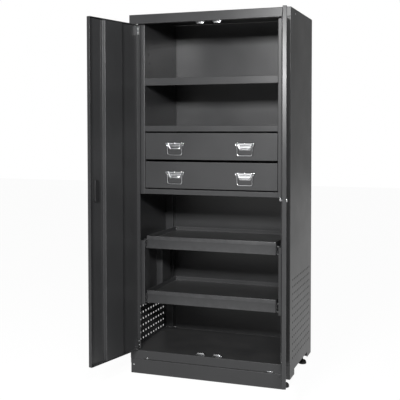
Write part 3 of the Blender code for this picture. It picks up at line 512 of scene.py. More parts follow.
def make_piece(name, parts, node=None, slot="powder_coat", body="carcass", door=None, soften=True, look=None):
    """One object from closed parts, with its finish, its body and the packed node that it stands for. Parts
    in a door's own measures are hung on that side's open door. The look is the slot's own unless another is
    given.
    """
    smooth_limit, bevel_limit = math.radians(32), math.radians(40)
    points, faces, wear, count = [], [], [], 0
    for part in parts:
        if door:
            part = (hung(door)(part[0]), *part[1:])
        part = outward(part)
        used, inverse = np.unique(np.concatenate([face.ravel() for face in part[1]]), return_inverse=True)
        points.append(part[0][used])
        wear.append(part[2][used])
        start = 0
        for face in part[1]:
            faces += (inverse.reshape(-1)[start : start + face.size].reshape(face.shape) + count).tolist()
            start += face.size
        count += len(used)
    mesh = bpy.data.meshes.new(name)
    mesh.from_pydata(np.concatenate(points), [], faces)
    mesh.update()
    rubbed = mesh.attributes.new("wear", "FLOAT", "POINT")
    rubbed.data.foreach_set("value", np.concatenate(wear).astype(np.float32))
    mesh.polygons.foreach_set("use_smooth", np.ones(len(mesh.polygons), bool))
    mesh.set_sharp_from_angle(angle=smooth_limit)
    mesh.materials.append(finish(look or slot))
    item = bpy.data.objects.new(name, mesh)
    bpy.context.scene.collection.objects.link(item)
    if soften:
        edge = item.modifiers.new("cut edge", "BEVEL")
        edge.width = bpy.context.scene.cabinet_sizes.cut_edge
        edge.segments = 1
        edge.limit_method = "ANGLE"
        edge.angle_limit = bevel_limit
    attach(item, body)
    if node:
        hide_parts(node)


def make_post(name, side, node, corners):
    """An upright folded sheet as high as its node. Its section is given for the right-hand side."""
    low, high = span(node)[:, 2]
    make_piece(name, [folded(np.array(corners) * (side, 1), -side * SHEET, "Z", low, high)], node)


# Finishes


def add(tree, kind, inputs=(), **settings):
    """Adds a node with its settings, and links or sets its inputs."""
    node = tree.nodes.new(kind)
    for name, value in settings.items():
        setattr(node, name, value)
    for key, value in dict(inputs).items():
        if isinstance(value, bpy.types.NodeSocket):
            tree.links.new(value, node.inputs[key])
        else:
            node.inputs[key].default_value = value
    return node


def math_node(tree, operation, first, second=0.0):
    """A sum, product or greater of two values."""
    return add(tree, "ShaderNodeMath", {0: first, 1: second}, operation=operation).outputs[0]


def times(tree, *values):
    """Values multiplied together."""
    product = values[0]
    for value in values[1:]:
        product = math_node(tree, "MULTIPLY", product, value)
    return product


def mixed(tree, share, first, second):
    """A colour between two others."""
    return add(tree, "ShaderNodeMix", {0: share, 6: first, 7: second}, data_type="RGBA").outputs[2]


def ranged(tree, value, low, high, start=0.0, end=1.0):
    """A value carried from one range to another, held at its ends."""
    return add(tree, "ShaderNodeMapRange", {0: value, 1: low, 2: high, 3: start, 4: end}).outputs[0]


def noise(tree, vector, scale, detail=2.0, roughness=0.5):
    """Soft noise of a scale per metre."""
    inputs = {"Vector": vector, "Scale": scale, "Detail": detail, "Roughness": roughness}
    return add(tree, "ShaderNodeTexNoise", inputs).outputs["Fac"]


def surface_grain(tree, given):
    """Orange-peel surface: fine smooth cells and finer noise as height, and broad clouds as mottle."""
    vector, grain = given["Vector"], given["Grain"]
    inputs = {"Vector": vector, "Scale": grain}
    cells = add(tree, "ShaderNodeTexVoronoi", inputs, feature="SMOOTH_F1", distance="EUCLIDEAN")
    fine = noise(tree, vector, times(tree, grain, 2.6), 3.0)
    height = math_node(tree, "ADD", times(tree, cells.outputs["Distance"], 0.7), times(tree, fine, 0.3))
    clouds = noise(tree, vector, given["Clouds"], 4.0, 0.55)
    return {"Height": height, "Mottle": ranged(tree, clouds, 0.3, 0.7)}


def rubbed_edges(tree, given):
    """Rubbed edges: the piece's own wear, broken up by noise, as a mask."""
    patches = ranged(tree, noise(tree, given["Vector"], 26.0, 5.0, 0.65), 0.38, 0.66, 0.25)
    return {"Mask": times(tree, given["Wear"], patches, given["Amount"])}


def settled_dust(tree, given):
    """Settled dust: faces that look up, broken up by two sizes of noise, as a mask."""
    level = ranged(tree, given["Up"], 0.75, 0.98)
    drift = ranged(tree, noise(tree, given["Vector"], 7.0, 5.0, 0.6), 0.35, 0.7, 0.2)
    specks = ranged(tree, noise(tree, given["Vector"], 900.0), 0.35, 0.75, 0.4)
    return {"Mask": times(tree, level, drift, specks, given["Amount"])}


def metal_streaks(tree, given):
    """Rolled and handled metal: noise drawn out upright as streaks, and soft smears."""
    stretch = {"Vector": given["Vector"], "Scale": (1.0, 1.0, 0.04)}
    drawn = add(tree, "ShaderNodeMapping", stretch).outputs[0]
    streaks = noise(tree, drawn, given["Scale"], 3.0, 0.6)
    smears = noise(tree, given["Vector"], 60.0, 3.0, 0.55)
    return {"Streaks": ranged(tree, streaks, 0.3, 0.7), "Smears": ranged(tree, smears, 0.35, 0.7)}


def effect(tree, wire, **inputs):
    """Places a shared node group in a material, and gives its outputs. The group is named for the function
    that wires it, and is made when it is first asked for.
    """
    name = wire.__name__.replace("_", " ")
    if name not in bpy.data.node_groups:
        group = bpy.data.node_groups.new(name, "ShaderNodeTree")
        for label in inputs:
            kind = "NodeSocketVector" if label == "Vector" else "NodeSocketFloat"
            group.interface.new_socket(name=label, in_out="INPUT", socket_type=kind)
        results = wire(group, group.nodes.new("NodeGroupInput").outputs)
        for label in results:
            group.interface.new_socket(name=label, in_out="OUTPUT", socket_type="NodeSocketFloat")
        add(group, "NodeGroupOutput", results)
    return add(tree, "ShaderNodeGroup", inputs, node_tree=bpy.data.node_groups[name]).outputs


def start_material(name):
    """An empty material: its tree, its shader and its Object coordinates."""
    made = bpy.data.materials.new(name)
    made.use_nodes = True
    tree = made.node_tree
    tree.nodes.clear()
    shader = tree.nodes.new("ShaderNodeBsdfPrincipled")
    add(tree, "ShaderNodeOutputMaterial", {"Surface": shader.outputs[0]})
    return made, tree, shader, tree.nodes.new("ShaderNodeTexCoord").outputs["Object"]


def bump(tree, shader, height, strength, distance):
    """Small relief on a material."""
    inputs = {"Height": height, "Strength": strength, "Distance": distance}
    tree.links.new(add(tree, "ShaderNodeBump", inputs).outputs[0], shader.inputs["Normal"])


def rub_mask(tree, place, wear):
    """Where a material's edges are rubbed."""
    edges = add(tree, "ShaderNodeAttribute", attribute_name="wear").outputs["Fac"]
    return effect(tree, rubbed_edges, Vector=place, Wear=edges, Amount=wear)["Mask"]


def painted(name, colour, rubbed, grain, relief, gloss, wear, dust):
    """A painted, moulded or rubber surface: grain as relief, clouds in its gloss, rubbed bends and dust."""
    cloud_scale, shade_range, dust_roughness = 3.2, (0.92, 1.08), 0.5
    made, tree, shader, place = start_material(name)
    skin = effect(tree, surface_grain, Vector=place, Grain=grain, Clouds=cloud_scale)
    rub = rub_mask(tree, place, wear)
    normal = tree.nodes.new("ShaderNodeNewGeometry").outputs["Normal"]
    up = add(tree, "ShaderNodeSeparateXYZ", {0: normal}).outputs["Z"]
    film = effect(tree, settled_dust, Vector=place, Up=up, Amount=dust)["Mask"]
    shade = ranged(tree, skin["Mottle"], 0.0, 1.0, *shade_range)
    base = add(tree, "ShaderNodeVectorMath", {0: colour, 1: shade}, operation="MULTIPLY").outputs[0]
    base = mixed(tree, rub, base, (*rubbed, 1.0))
    base = mixed(tree, film, base, (*bpy.context.scene.cabinet_finishes.dust, 1.0))
    tree.links.new(base, shader.inputs["Base Color"])
    rough = ranged(tree, skin["Mottle"], 0.0, 1.0, *gloss)
    rough = math_node(tree, "ADD", rough, times(tree, film, dust_roughness))
    tree.links.new(rough, shader.inputs["Roughness"])
    bump(tree, shader, skin["Height"], *relief)
    return made


def plated(name, colour, tarnish, scale, gloss, wear):
    """A plated surface: streaks and smears in its gloss and colour, brighter on its edges."""
    bare, relief = (0.86, 0.86, 0.85, 1.0), (0.08, 0.0002)
    made, tree, shader, place = start_material(name)
    shader.inputs["Metallic"].default_value = 1.0
    metal = effect(tree, metal_streaks, Vector=place, Scale=scale)
    base = mixed(tree, metal["Smears"], (*colour, 1.0), (*tarnish, 1.0))
    base = mixed(tree, rub_mask(tree, place, wear), base, bare)
    tree.links.new(base, shader.inputs["Base Color"])
    spread = times(tree, math_node(tree, "ADD", metal["Streaks"], metal["Smears"]), 0.5)
    tree.links.new(ranged(tree, spread, 0.0, 1.0, *gloss), shader.inputs["Roughness"])
    bump(tree, shader, metal["Streaks"], *relief)
    return made


def finish(look):
    """The material of a look, made when it is first asked for. Relief is a strength and a height, gloss the
    range of the roughness, and grain and scale are per metre.
    """
    name = f"{look}_finish"
    if name in bpy.data.materials:
        return bpy.data.materials[name]
    looks = bpy.context.scene.cabinet_finishes
    if look == "powder_coat":
        return painted(
            name, looks.coat, looks.rubbed, grain=700.0, relief=(0.12, 0.0003), gloss=(0.28, 0.36),
            wear=looks.wear, dust=0.10
        )
    # Black moulding of the pulls, also used for the keyway's painted shade
    if look == "black_moulding":
        return painted(
            name, looks.moulding, (0.06, 0.06, 0.06), grain=1100.0, relief=(0.2, 0.0003), gloss=(0.42, 0.54),
            wear=0.3, dust=0.1
        )
    if look == "foot_rubber":
        return painted(
            name, looks.rubber, (0.06, 0.06, 0.058), grain=900.0, relief=(0.3, 0.0004), gloss=(0.60, 0.74),
            wear=0.4, dust=0.35
        )
    if look == "zinc_plate":
        return plated(name, looks.zinc, (0.55, 0.56, 0.58), scale=500.0, gloss=(0.20, 0.38), wear=0.5)
    # Zinc with painted shade: the pivot colour and a darker tarnish stand in for the dark reflections on the
    # pivot brackets
    if look == "dulled_zinc":
        return plated(name, looks.pivot, (0.20, 0.203, 0.208), scale=500.0, gloss=(0.24, 0.40), wear=0.7)
    if look == "bright_chrome":
        return plated(name, looks.chrome, (0.74, 0.75, 0.77), scale=900.0, gloss=(0.10, 0.24), wear=0.2)
    raise ValueError(f"no finish is set out for {look}")


# Small fittings that several pieces share


def screw_head(origin, direction, radius):
    """A domed screw head with a socket: radii, levels and wear of a low dome that dips at its middle."""
    rim = [(1.0, 0.0, 1), (1.0, 0.18, 1), (0.94, 0.34, 1), (0.78, 0.48, 0.6), (0.52, 0.56, 0.6)]
    socket = [(0.40, 0.56, 0.6), (0.36, 0.50, 0), (0.34, 0.20, 0), (0.1, 0.18, 0)]
    profile = np.array(rim + socket)
    return turned(profile[:, :2] * radius, 18, origin, direction, profile[:, 2])


def rivet_head(origin, direction, radius, rise=0.38):
    """A rivet head: a dome whose level at the middle is its rise times its radius, with a sunk foot."""
    angle = np.linspace(0, np.pi / 2 - 0.15, 8)
    profile = np.c_[radius * np.cos(angle), radius * rise * np.sin(angle)]
    return turned(np.r_[[(radius, -0.0006)], profile], 18, origin, direction)


def hex_nut(origin, direction, radius, height):
    """A six-sided nut with chamfered ends: loops of six points, drawn in by about a tenth at each end."""
    profile = [(0.88 * radius, 0), (radius, 0.12 * height), (radius, 0.88 * height), (0.88 * radius, height)]
    return turned(profile, 6, origin, direction)


# Pieces


class CABINET_OT_side_panels(bpy.types.Operator):
    """Perforated side sheets, folded round to the front frame"""

    bl_idname = "cabinet.side_panels"
    bl_label = "Side panels"

    def execute(self, context):
        sizes = context.scene.cabinet_sizes
        count, first_row, leg, lap, lap_end = 12, 0.156, 0.105, 0.006, FRONT + 0.0026
        hole = sizes.peg_hole / 2
        columns = (FRONT + REAR) / 2 + sizes.peg_pitch * (np.arange(count) - (count - 1) / 2)
        rows = first_row + sizes.peg_pitch * np.arange(count)
        front_leg, rear_leg = span("right_side_panel")[0, 1] + leg, REAR - leg
        sill, head = FLOOR_TOP + GAP, FASCIA_BOTTOM - GAP
        cuts = (front_leg, rear_leg), (NOTCH, sill, head)
        for side, name in SIDES:
            corners = [(side * (HALF - lap), FRONT), (side * HALF, FRONT), (side * HALF, REAR)]
            ends = LEG_BOTTOM, SIDE_TOP
            sheet, keep, y, z = pierced(corners, side * SHEET, ends, columns, rows, (hole, hole), cuts)
            keep &= ~((y > front_leg) & (y < rear_leg) & (z < NOTCH))
            keep &= ~((y < lap_end) & ((z < sill) | (z > head)))
            make_piece(f"{name}_side_sheet", [shell(*sheet, keep)], f"{name}_side_panel")
        return {"FINISHED"}


class CABINET_OT_front_frame(bpy.types.Operator):
    """Roof with its fascia, and the posts beside the doors"""

    bl_idname = "cabinet.front_frame"
    bl_label = "Roof and front posts"

    def execute(self, context):
        fascia_return, side_lap, jamb, jamb_return = 0.034, 0.0063, 0.020, 0.012
        corners = [(FRONT + fascia_return, FASCIA_BOTTOM), (FRONT, FASCIA_BOTTOM)]
        corners += [(FRONT, ROOF), (REAR, ROOF)]
        low_edge = FASCIA_BOTTOM + 0.0005
        roof = trimmed(corners, lambda y, z: (z < low_edge) & (y > FRONT + FOLD_END))
        make_piece("roof_and_fascia", [roof], "top_panel")
        inner, depth = HALF - 0.026, FRONT + jamb
        corners = [(HALF - side_lap, FRONT), (inner, FRONT), (inner, depth), (inner + jamb_return, depth)]
        for side, name in SIDES:
            make_post(f"{name}_front_post", side, f"{name}_front_stile", corners)
        return {"FINISHED"}


class CABINET_OT_back(bpy.types.Operator):
    """Back sheet with its raised field, and the posts beside it"""

    bl_idname = "cabinet.back"
    bl_label = "Back"

    def execute(self, context):
        low, high = span("back_panel")[:, 2]
        field_y, field, post, rivet_x = REAR - 0.019, HALF - 0.073, HALF - 0.052, HALF - 0.028
        rear = field_y + SHEET
        corners = np.array([(TRIM, REAR), (field, REAR), (field, rear)])
        corners = np.r_[corners, corners[::-1] * (-1, 1)]
        make_piece("back_sheet", [folded(corners, SHEET, "Z", low, high)], "back_panel")
        heights = np.linspace(low + 0.05, high - 0.05, 9)
        rivets = [rivet_head((side * rivet_x, REAR, z), BACK, 0.0045) for side, _ in SIDES for z in heights]
        make_piece("back_rivets", rivets, soften=False)
        corners = [(TRIM, field_y), (post, field_y), (post, REAR - SHEET - GAP)]
        for side, name in SIDES:
            make_post(f"{name}_corner_post", side, f"{name}_rear_post", corners)
        return {"FINISHED"}


class CABINET_OT_floor(bpy.types.Operator):
    """Floor with its lip and foot gussets, the plinth sheet, and their screws"""

    bl_idname = "cabinet.floor"
    bl_label = "Floor and plinth"

    def execute(self, context):
        lip, lip_return = FLOOR_TOP - 0.048, FRONT + 0.020
        corners = [(lip_return, lip), (FRONT, lip), (FRONT, FLOOR_TOP), (REAR, FLOOR_TOP), (REAR, NOTCH)]
        parts = [trimmed(corners, lambda y, z: y > FRONT + FOLD_END)]
        top, gusset, gusset_inner, rear_fit = FLOOR_TOP - SHEET, 0.085, HALF - 0.080, 0.0006
        for start in (FRONT + SHEET + GAP, REAR - rear_fit - gusset):
            end = start + gusset
            walls = [(start, top), (start, LEG_BOTTOM), (end, LEG_BOTTOM), (end, top)]
            parts += [folded(walls, SHEET, "X", side * TRIM, side * gusset_inner) for side, _ in SIDES]
        make_piece("floor_with_lip", parts, "floor_panel")
        low, high = span("kick_plate")
        seam, foot = high[2] - 0.0025, low[2]
        corners = [(FRONT + 0.012, seam), (FRONT, seam), (FRONT, foot), (FRONT + 0.015, foot)]
        make_piece("plinth_sheet", [folded(corners, SHEET, "X", low[0], high[0])], "kick_plate")
        large, small, high_screw = 0.0048, 0.0042, (FRONT + 0.105, 1.976)
        bright = [screw_head((x, FRONT, z), FORWARD, large) for x, z in ((-0.436, 0.051), (-0.354, 0.0915))]
        bright += [screw_head((side * HALF, *high_screw), (side, 0, 0), small) for side in (1, -1)]
        bright.append(block((0.333, FRONT - 0.0018, 0.0885), (0.365, FRONT + 0.0002, 0.0925), 0.0006))
        make_piece("plinth_screws", bright, slot="zinc_plate", soften=False)
        dark = [screw_head((0.397, FRONT, 0.066), FORWARD, large)]
        make_piece("plinth_painted_screw", dark, soften=False)
        return {"FINISHED"}


class CABINET_OT_feet(bpy.types.Operator):
    """Levelling feet: domed rubber pads on threaded stems with lock nuts"""

    bl_idname = "cabinet.feet"
    bl_label = "Levelling feet"

    def execute(self, context):
        angle = quarter(7)[1:]
        rim, neck, brim, dome_rise = np.ptp(span("front_left_foot")[:, 0]) / 2, 0.008, 0.0068, 0.0172
        sole = [(rim - 0.0035, 0), (rim - 0.0015, 0.0008), (rim, 0.0026), (rim, 0.0056)]
        sole.append((rim - 0.0008, 0.0064))
        dome = np.c_[neck + (rim - neck) * np.cos(angle), brim + dome_rise * np.sin(angle)]
        pad = np.r_[sole, dome, [(0.0062, 0.0240), (0.0060, 0.0226)]]
        turns = np.arange(0.0205, 0.0730, 0.0009)
        stem = np.c_[np.where(np.arange(len(turns)) % 2, 0.0050, 0.0042), turns]
        nut_radius, nut_height = 0.009, 0.008
        for end in ("front", "rear"):
            for _, name in SIDES:
                foot, body = f"{end}_{name}_foot", f"{end}_{name}_leveller"
                x, y = span(foot).sum(0)[:2] / 2
                pads = [turned(pad, 40, (x, y, 0), UP)]
                make_piece(f"{foot}_pad", pads, foot, "foot_rubber", body, soften=False)
                nut = hex_nut((x, y, LEG_BOTTOM - GAP - nut_height), UP, nut_radius, nut_height)
                metal = [turned(stem, 20, (x, y, 0), UP), nut]
                make_piece(f"{foot}_stem", metal, slot="zinc_plate", body=body, soften=False)
        return {"FINISHED"}


class CABINET_OT_liners(bpy.types.Operator):
    """Inner walls of the upper module, with shelf slots and shelf clips"""

    bl_idname = "cabinet.liners"
    bl_label = "Liners"

    def execute(self, context):
        (_, _, low), (_, rear, high) = span("right_liner")
        clip_top = span("upper_shelf")[1, 2] - SHEET - GAP
        inset, slot, pitch = 0.060, (0.002, 0.007), 0.050
        clip_reach, clip_half, clip_height = 0.012, 0.008, 0.024
        columns = np.array([SETBACK + inset, rear - inset])
        rows = clip_top - 0.012 + pitch * np.array([-3, -2, -1, 1, 2, 3])
        for side, name in SIDES:
            corners = [(side * TRIM, SETBACK), (side * LINER, SETBACK), (side * LINER, rear)]
            sheet, keep, _, _ = pierced(corners, -side * SHEET, (low, high), columns, rows, slot)
            parts = [shell(*sheet, keep)]
            for column in columns:
                foot = (side * LINER, column - clip_half, clip_top - clip_height)
                parts.append(block(foot, (side * (LINER - clip_reach), column + clip_half, clip_top), 0.0015))
            make_piece(f"{name}_module_wall", parts, f"{name}_liner")
        return {"FINISHED"}


class CABINET_OT_shelves(bpy.types.Operator):
    """Shelves of the upper module, folded at the front and the rear"""

    bl_idname = "cabinet.shelves"
    bl_label = "Shelves"

    def execute(self, context):
        front_return, rear_flange = 0.015, 0.020
        for node in ("upper_shelf", "drawer_bay_shelf", "drawer_bay_bottom"):
            (left, front, bottom), (right, rear, top) = span(node)
            corners = [(front + front_return, bottom), (front, bottom), (front, top), (rear, top)]
            corners.append((rear, top - rear_flange))
            make_piece(f"{node}_sheet", [folded(corners, -SHEET, "X", left, right)], node)
        return {"FINISHED"}


class CABINET_OT_drawers(bpy.types.Operator):
    """Drawers: folded fronts on open boxes with running flanges, and the runners that hold them"""

    bl_idname = "cabinet.drawers"
    bl_label = "Drawers"

    def execute(self, context):
        box_half, front_depth, corner = LINER - GAP - 0.013, 0.015, 0.0030
        flange, flange_start, flange_edge = 0.009, 0.018, 0.0005
        for level in LEVELS:
            body = f"{level}_drawer_box"
            low, high = span(f"{level}_drawer")
            width, _, height = high - low
            bottom, rim = low[2] + 0.010, high[2] - 0.030
            start = low[1] + SHEET + GAP
            run = high[1] - start
            face = (0, low[1], low[2] + height / 2)
            parts = [
                pan(width, height, front_depth, SHEET, corner, AXES["Y"], face),
                pan(2 * box_half, run, rim - bottom, THIN, corner, AXES["Z"], (0, start + run / 2, bottom)),
            ]
            for side, _ in SIDES:
                inner = (side * (box_half - THIN), start + flange_start, rim)
                parts.append(block(inner, (side * (box_half + flange), high[1], rim + THIN), flange_edge))
            make_piece(body, parts, f"{level}_drawer", body=body)
            for side, name in SIDES:
                node = f"{level}_{name}_drawer_runner"
                make_piece(f"{node}_channel", [channel(node, side)], node, "zinc_plate")
        return {"FINISHED"}


class CABINET_OT_handles(bpy.types.Operator):
    """Chest handles: pressed plates with ribs, barrels and rivets, and the wire bails that hang in them"""

    bl_idname = "cabinet.handles"
    bl_label = "Drawer handles"

    def execute(self, context):
        wire = context.scene.cabinet_sizes.wire
        outline = [(-0.045, 0.0), (-0.031, -0.037), (0.031, -0.037), (0.045, 0.0)]
        insets = [0.0004, 0.0, 0.0, 0.0006, 0.0036, 0.0040, 0.0050, 0.0056, 0.0060]
        heights = -np.array([0.0003, 0.0006, 0.0013, 0.0018, 0.0018, 0.0017, 0.0012, 0.0011, 0.0011])
        wear = [0, 0, 1, 1, 1, 1, 0, 0, 0]
        swell = np.linspace(0, 1, 11)
        knuckles, knuckle = np.array([-0.040, 0.0, 0.040]), 0.0125
        ridge = (knuckles[:, None] + knuckle * (swell - 0.5)).ravel()
        girth = np.tile(0.0031 + 0.0038 * np.sqrt(np.sin(np.pi * swell)), len(knuckles))
        rib_insets = [0, 0.0006, 0.0016, 0.0028, 0.0037]
        rib_heights = -np.array([0.0008, 0.0014, 0.0020, 0.0024, 0.0025])
        rib_half, rivet_x, rivet_z = 0.0045, 0.028, 0.029
        half, foot, tip, drop = 0.051, 0.042, 0.0345, 0.065
        bail = np.array([(tip, 0), (half, 0), (half, -0.010), (foot, -0.015), (foot, -drop)])
        bends = [0.0038, 0.0038, 0.0038, 0.010]
        bail = bent_line(np.r_[bail, bail[::-1] * (-1, 1)], bends + bends[::-1], steps=9)[0]
        for level in LEVELS:
            face = span(f"{level}_drawer")[0, 1]
            for _, name in SIDES:
                x, y, z = joint(f"{level}_{name}_bail_hinge")["pos_m"]
                parts = [
                    plate(outline, 0.006, insets, heights, (x, face, z), wear),
                    turned(np.c_[girth, ridge], 24, (x, y, z), RIGHT),
                ]
                for reach, below in ((0.031, 0.0135), (0.021, 0.0290)):
                    rib = [(-reach, -rib_half), (-reach, rib_half), (reach, rib_half), (reach, -rib_half)]
                    parts.append(plate(rib, 0.0042, rib_insets, rib_heights, (x, face, z - below)))
                for across in (-rivet_x, rivet_x):
                    parts.append(rivet_head((x + across, face - 0.0010, z - rivet_z), FORWARD, 0.0054, 0.8))
                node, drawer = f"{level}_{name}_handle_plate", f"{level}_drawer_box"
                make_piece(f"{node}_pressing", parts, node, "bright_chrome", drawer, soften=False)
                path = np.c_[x + bail[:, 0], np.full(len(bail), y), z + bail[:, 1]]
                node, body = f"{level}_{name}_handle_bail", f"{level}_{name}_bail"
                loop = tube(path, wire, BACK)
                make_piece(f"{node}_wire", [loop], node, "bright_chrome", body, soften=False)
        return {"FINISHED"}


class CABINET_OT_trays(bpy.types.Operator):
    """Sliding trays with a hem, their slides, and the carriers on the side panels"""

    bl_idname = "cabinet.trays"
    bl_label = "Trays and slides"

    def execute(self, context):
        sizes = context.scene.cabinet_sizes
        steps, corner, edge = 5, 0.003, 0.0003
        angle, roll = quarter(steps), np.linspace(0, np.pi, 7)
        lap = sizes.hem_lap
        bend_in, bend_up = THIN + sizes.bend * (1 - np.sin(angle)), sizes.bend * (1 - np.cos(angle))
        field, rim = THIN + sizes.bend + BAND, (THIN + lap) / 2
        for level in LEVELS:
            body = f"{level}_sliding_tray"
            low, high = span(f"{level}_tray")
            width, run, top = high - low
            hem, floor = top - sizes.hem, top - sizes.tray_depth
            insets = np.r_[
                field, bend_in, THIN, THIN - rim + rim * np.cos(roll), -lap, 0.0005 - lap, 0, 0, 0, edge,
                THIN - edge, THIN, bend_in[::-1], field
            ]
            heights = np.r_[
                floor, floor + bend_up, top - 0.004, top - rim + rim * np.sin(roll), hem + 0.0007, hem, hem,
                hem - BAND, 0.0004, 0, 0, 0.0004, floor - THIN - bend_up[::-1], floor - THIN
            ]
            flat = np.zeros(steps)
            wear = np.r_[0, flat, 0, np.ones(len(roll)), 1, 1, 0, 0, 1, 1, 1, 0, flat, 0]
            middle = ((low[0] + high[0]) / 2, (low[1] + high[1]) / 2, low[2])
            rings = raised(loops(width, run, corner, insets), heights, AXES["Z"], middle)
            tray = lofted(rings, wear)
            make_piece(f"{level}_hemmed_tray", [tray], f"{level}_tray", body=body, soften=False)
            for side, name in SIDES:
                for kind, holder, sign in (("fixed", "carcass", 1), ("inner", body, -1)):
                    node = f"{level}_{name}_{kind}_slide"
                    make_piece(f"{node}_member", [channel(node, side * sign)], node, "zinc_plate", holder)
        crest, recess = HALF - 0.072, HALF - 0.037
        x = [TRIM, crest, crest, recess, recess, crest, crest, TRIM]
        y = SETBACK + np.repeat([0, 0.070, 0.258, 0.385], 2)
        for side, name in SIDES:
            make_post(f"{name}_slide_carrier", side, f"{name}_tray_carrier", np.c_[x, y])
        return {"FINISHED"}


class CABINET_OT_doors(bpy.types.Operator):
    """Door pans with their stiffeners"""

    bl_idname = "cabinet.doors"
    bl_label = "Door panels"

    def execute(self, context):
        cup_half, lock_half, rim, corner = 0.0153, 0.0066, 0.012, 0.003
        middle_u, middle_z = (HINGE_EDGE + FREE_EDGE) / 2, (DOOR_TOP + DOOR_BOTTOM) / 2
        width, height = FREE_EDGE - HINGE_EDGE, DOOR_TOP - DOOR_BOTTOM
        origin = (middle_u, DOOR_OUTER, middle_z)
        insets, heights, wear = pan_section(DOOR_INNER - DOOR_OUTER, THIN, bend_radius())
        insets[[0, -1]] = rim
        start, end, flange, slope, end_fit = 0.128, FREE_EDGE - 0.1075, 0.012, 0.017, 0.0052
        seat, crest = DOOR_OUTER + THIN + GAP + THIN, DOOR_INNER - 0.001
        section = [(start, seat), (start + flange, seat), (start + slope, crest)]
        section += [(end - slope, crest), (end - flange, seat), (end, seat)]
        hat = folded(section, -THIN, "Z", DOOR_BOTTOM + end_fit, DOOR_TOP - end_fit)
        for side, name in SIDES:
            pull_low = PULL_TOP - PULL_HEIGHT[side]
            holes = [(PULL_U - cup_half, pull_low - GAP, PULL_U + cup_half, PULL_TOP + GAP)]
            if side > 0:
                holes.append((LOCK_U - lock_half, LOCK_Z - lock_half, LOCK_U + lock_half, LOCK_Z + lock_half))
            holes = np.array(holes) - np.array([middle_u, middle_z, middle_u, middle_z])
            cuts = np.unique(holes[:, [0, 2]]), np.unique(holes[:, [1, 3]])
            flat = loops(width, height, corner, insets, cuts, least=0.0)
            walls = lofted(raised(flat, heights, AXES["Y"], origin), wear)
            u = np.r_[-width / 2 + rim, cuts[0], width / 2 - rim]
            z = np.r_[-height / 2 + rim, cuts[1], height / 2 - rim]
            face = np.stack(np.broadcast_arrays(u[:, None], 0.0, z), -1) + origin
            mid_u, mid_z = middles(u)[:, None], middles(z)[None]
            keep = np.ones((len(u) - 1, len(z) - 1), bool)
            for left, bottom, right, top in holes:
                keep &= ~((mid_u > left) & (mid_u < right) & (mid_z > bottom) & (mid_z < top))
            field = shell(face, face + np.array([0, THIN, 0]), np.zeros(face.shape[:2]), keep, border=False)
            sheet = welded([(walls[0], walls[1][:1], walls[2]), outward(field)])
            body = f"{name}_door"
            make_piece(f"{body}_pan", [sheet], f"{body}_skin", body=body, door=side)
            make_piece(f"{body}_hat", [hat], f"{body}_stiffener", body=body, door=side)
        return {"FINISHED"}


class CABINET_OT_pulls(bpy.types.Operator):
    """Recessed pulls: rounded cups sunk in the doors"""

    bl_idname = "cabinet.pulls"
    bl_label = "Recessed pulls"

    def execute(self, context):
        face, floor, width, corner = DOOR_OUTER, DOOR_OUTER + 0.013, 0.030, 0.007
        inside = [(0.0065, floor - 0.0010, 0), (0.0045, floor - 0.0012, 0), (0.0024, floor - 0.0022, 0)]
        inside += [(0.0014, floor - 0.0045, 0), (0.0010, face + 0.0016, 0), (0.0004, face - 0.0002, 0.5)]
        brim = [(-0.0010, face - 0.0014, 1), (-0.0030, face - 0.0016, 1), (-0.0039, face - 0.0011, 1)]
        brim += [(-0.0040, face - 0.0007, 0.5), (-0.0040, face - GAP, 0), (0.0, face - GAP, 0)]
        outside = [(0.0, floor - 0.0040, 0), (0.0003, floor - 0.0016, 1), (0.0016, floor - 0.0004, 1)]
        outside += [(0.0040, floor, 0), (0.0065, floor, 0)]
        insets, levels, wear = np.array(inside + brim + outside).T
        for side, name in SIDES:
            height, node, body = PULL_HEIGHT[side], f"{name}_door_pull", f"{name}_door"
            flat = loops(width, height, corner, insets, steps=7)
            cup = lofted(raised(flat, levels, AXES["Y"], (PULL_U, 0, PULL_TOP - height / 2)), wear)
            make_piece(f"{name}_finger_cup", [cup], node, "black_moulding", body, side, soften=False)
        return {"FINISHED"}


class CABINET_OT_pivots(bpy.types.Operator):
    """Door pivots: plated angle brackets, drawn darker as painted shade, with pins and screws"""

    bl_idname = "cabinet.pivots"
    bl_label = "Door pivots"

    def execute(self, context):
        edge, arm, leaf, stock, bend, half = HINGE_EDGE + THIN + GAP, 0.024, 0.052, 0.003, 0.0015, 0.007
        radius, tip_radius, taper, screw, screw_rows = 0.004, 0.003, 0.001, 0.0042, (0.020, 0.042)
        for side, name in SIDES:
            for end, inward in INWARD:
                node, body = f"{name}_door_{end}_pivot", f"{name}_door"
                rim = DOOR_TOP - THIN - GAP if inward < 0 else DOOR_BOTTOM + THIN + GAP
                tip = span(node)[1 if inward < 0 else 0, 2]
                corners = [(edge + arm, rim), (edge, rim), (edge, rim + inward * leaf)]
                line = bent_line(corners, bend, -inward * stock)
                bracket = shell(*swept(line, -inward * stock, "Y", between(-half, half)))
                reach = abs(tip - rim)
                profile = [(radius, -taper), (radius, reach - taper), (tip_radius, reach)]
                fixings = [turned(profile, 20, (0, 0, rim), (0, 0, -inward))]
                for along in screw_rows:
                    fixings.append(screw_head((edge + stock, 0.0, rim + inward * along), RIGHT, screw))
                # The brackets take the zinc with painted shade, drawn darker than the pins for the dark
                # reflections on them
                make_piece(f"{node}_bracket", [bracket], node, "zinc_plate", body, side, look="dulled_zinc")
                make_piece(f"{node}_pin", fixings, None, "zinc_plate", body, side)
        return {"FINISHED"}


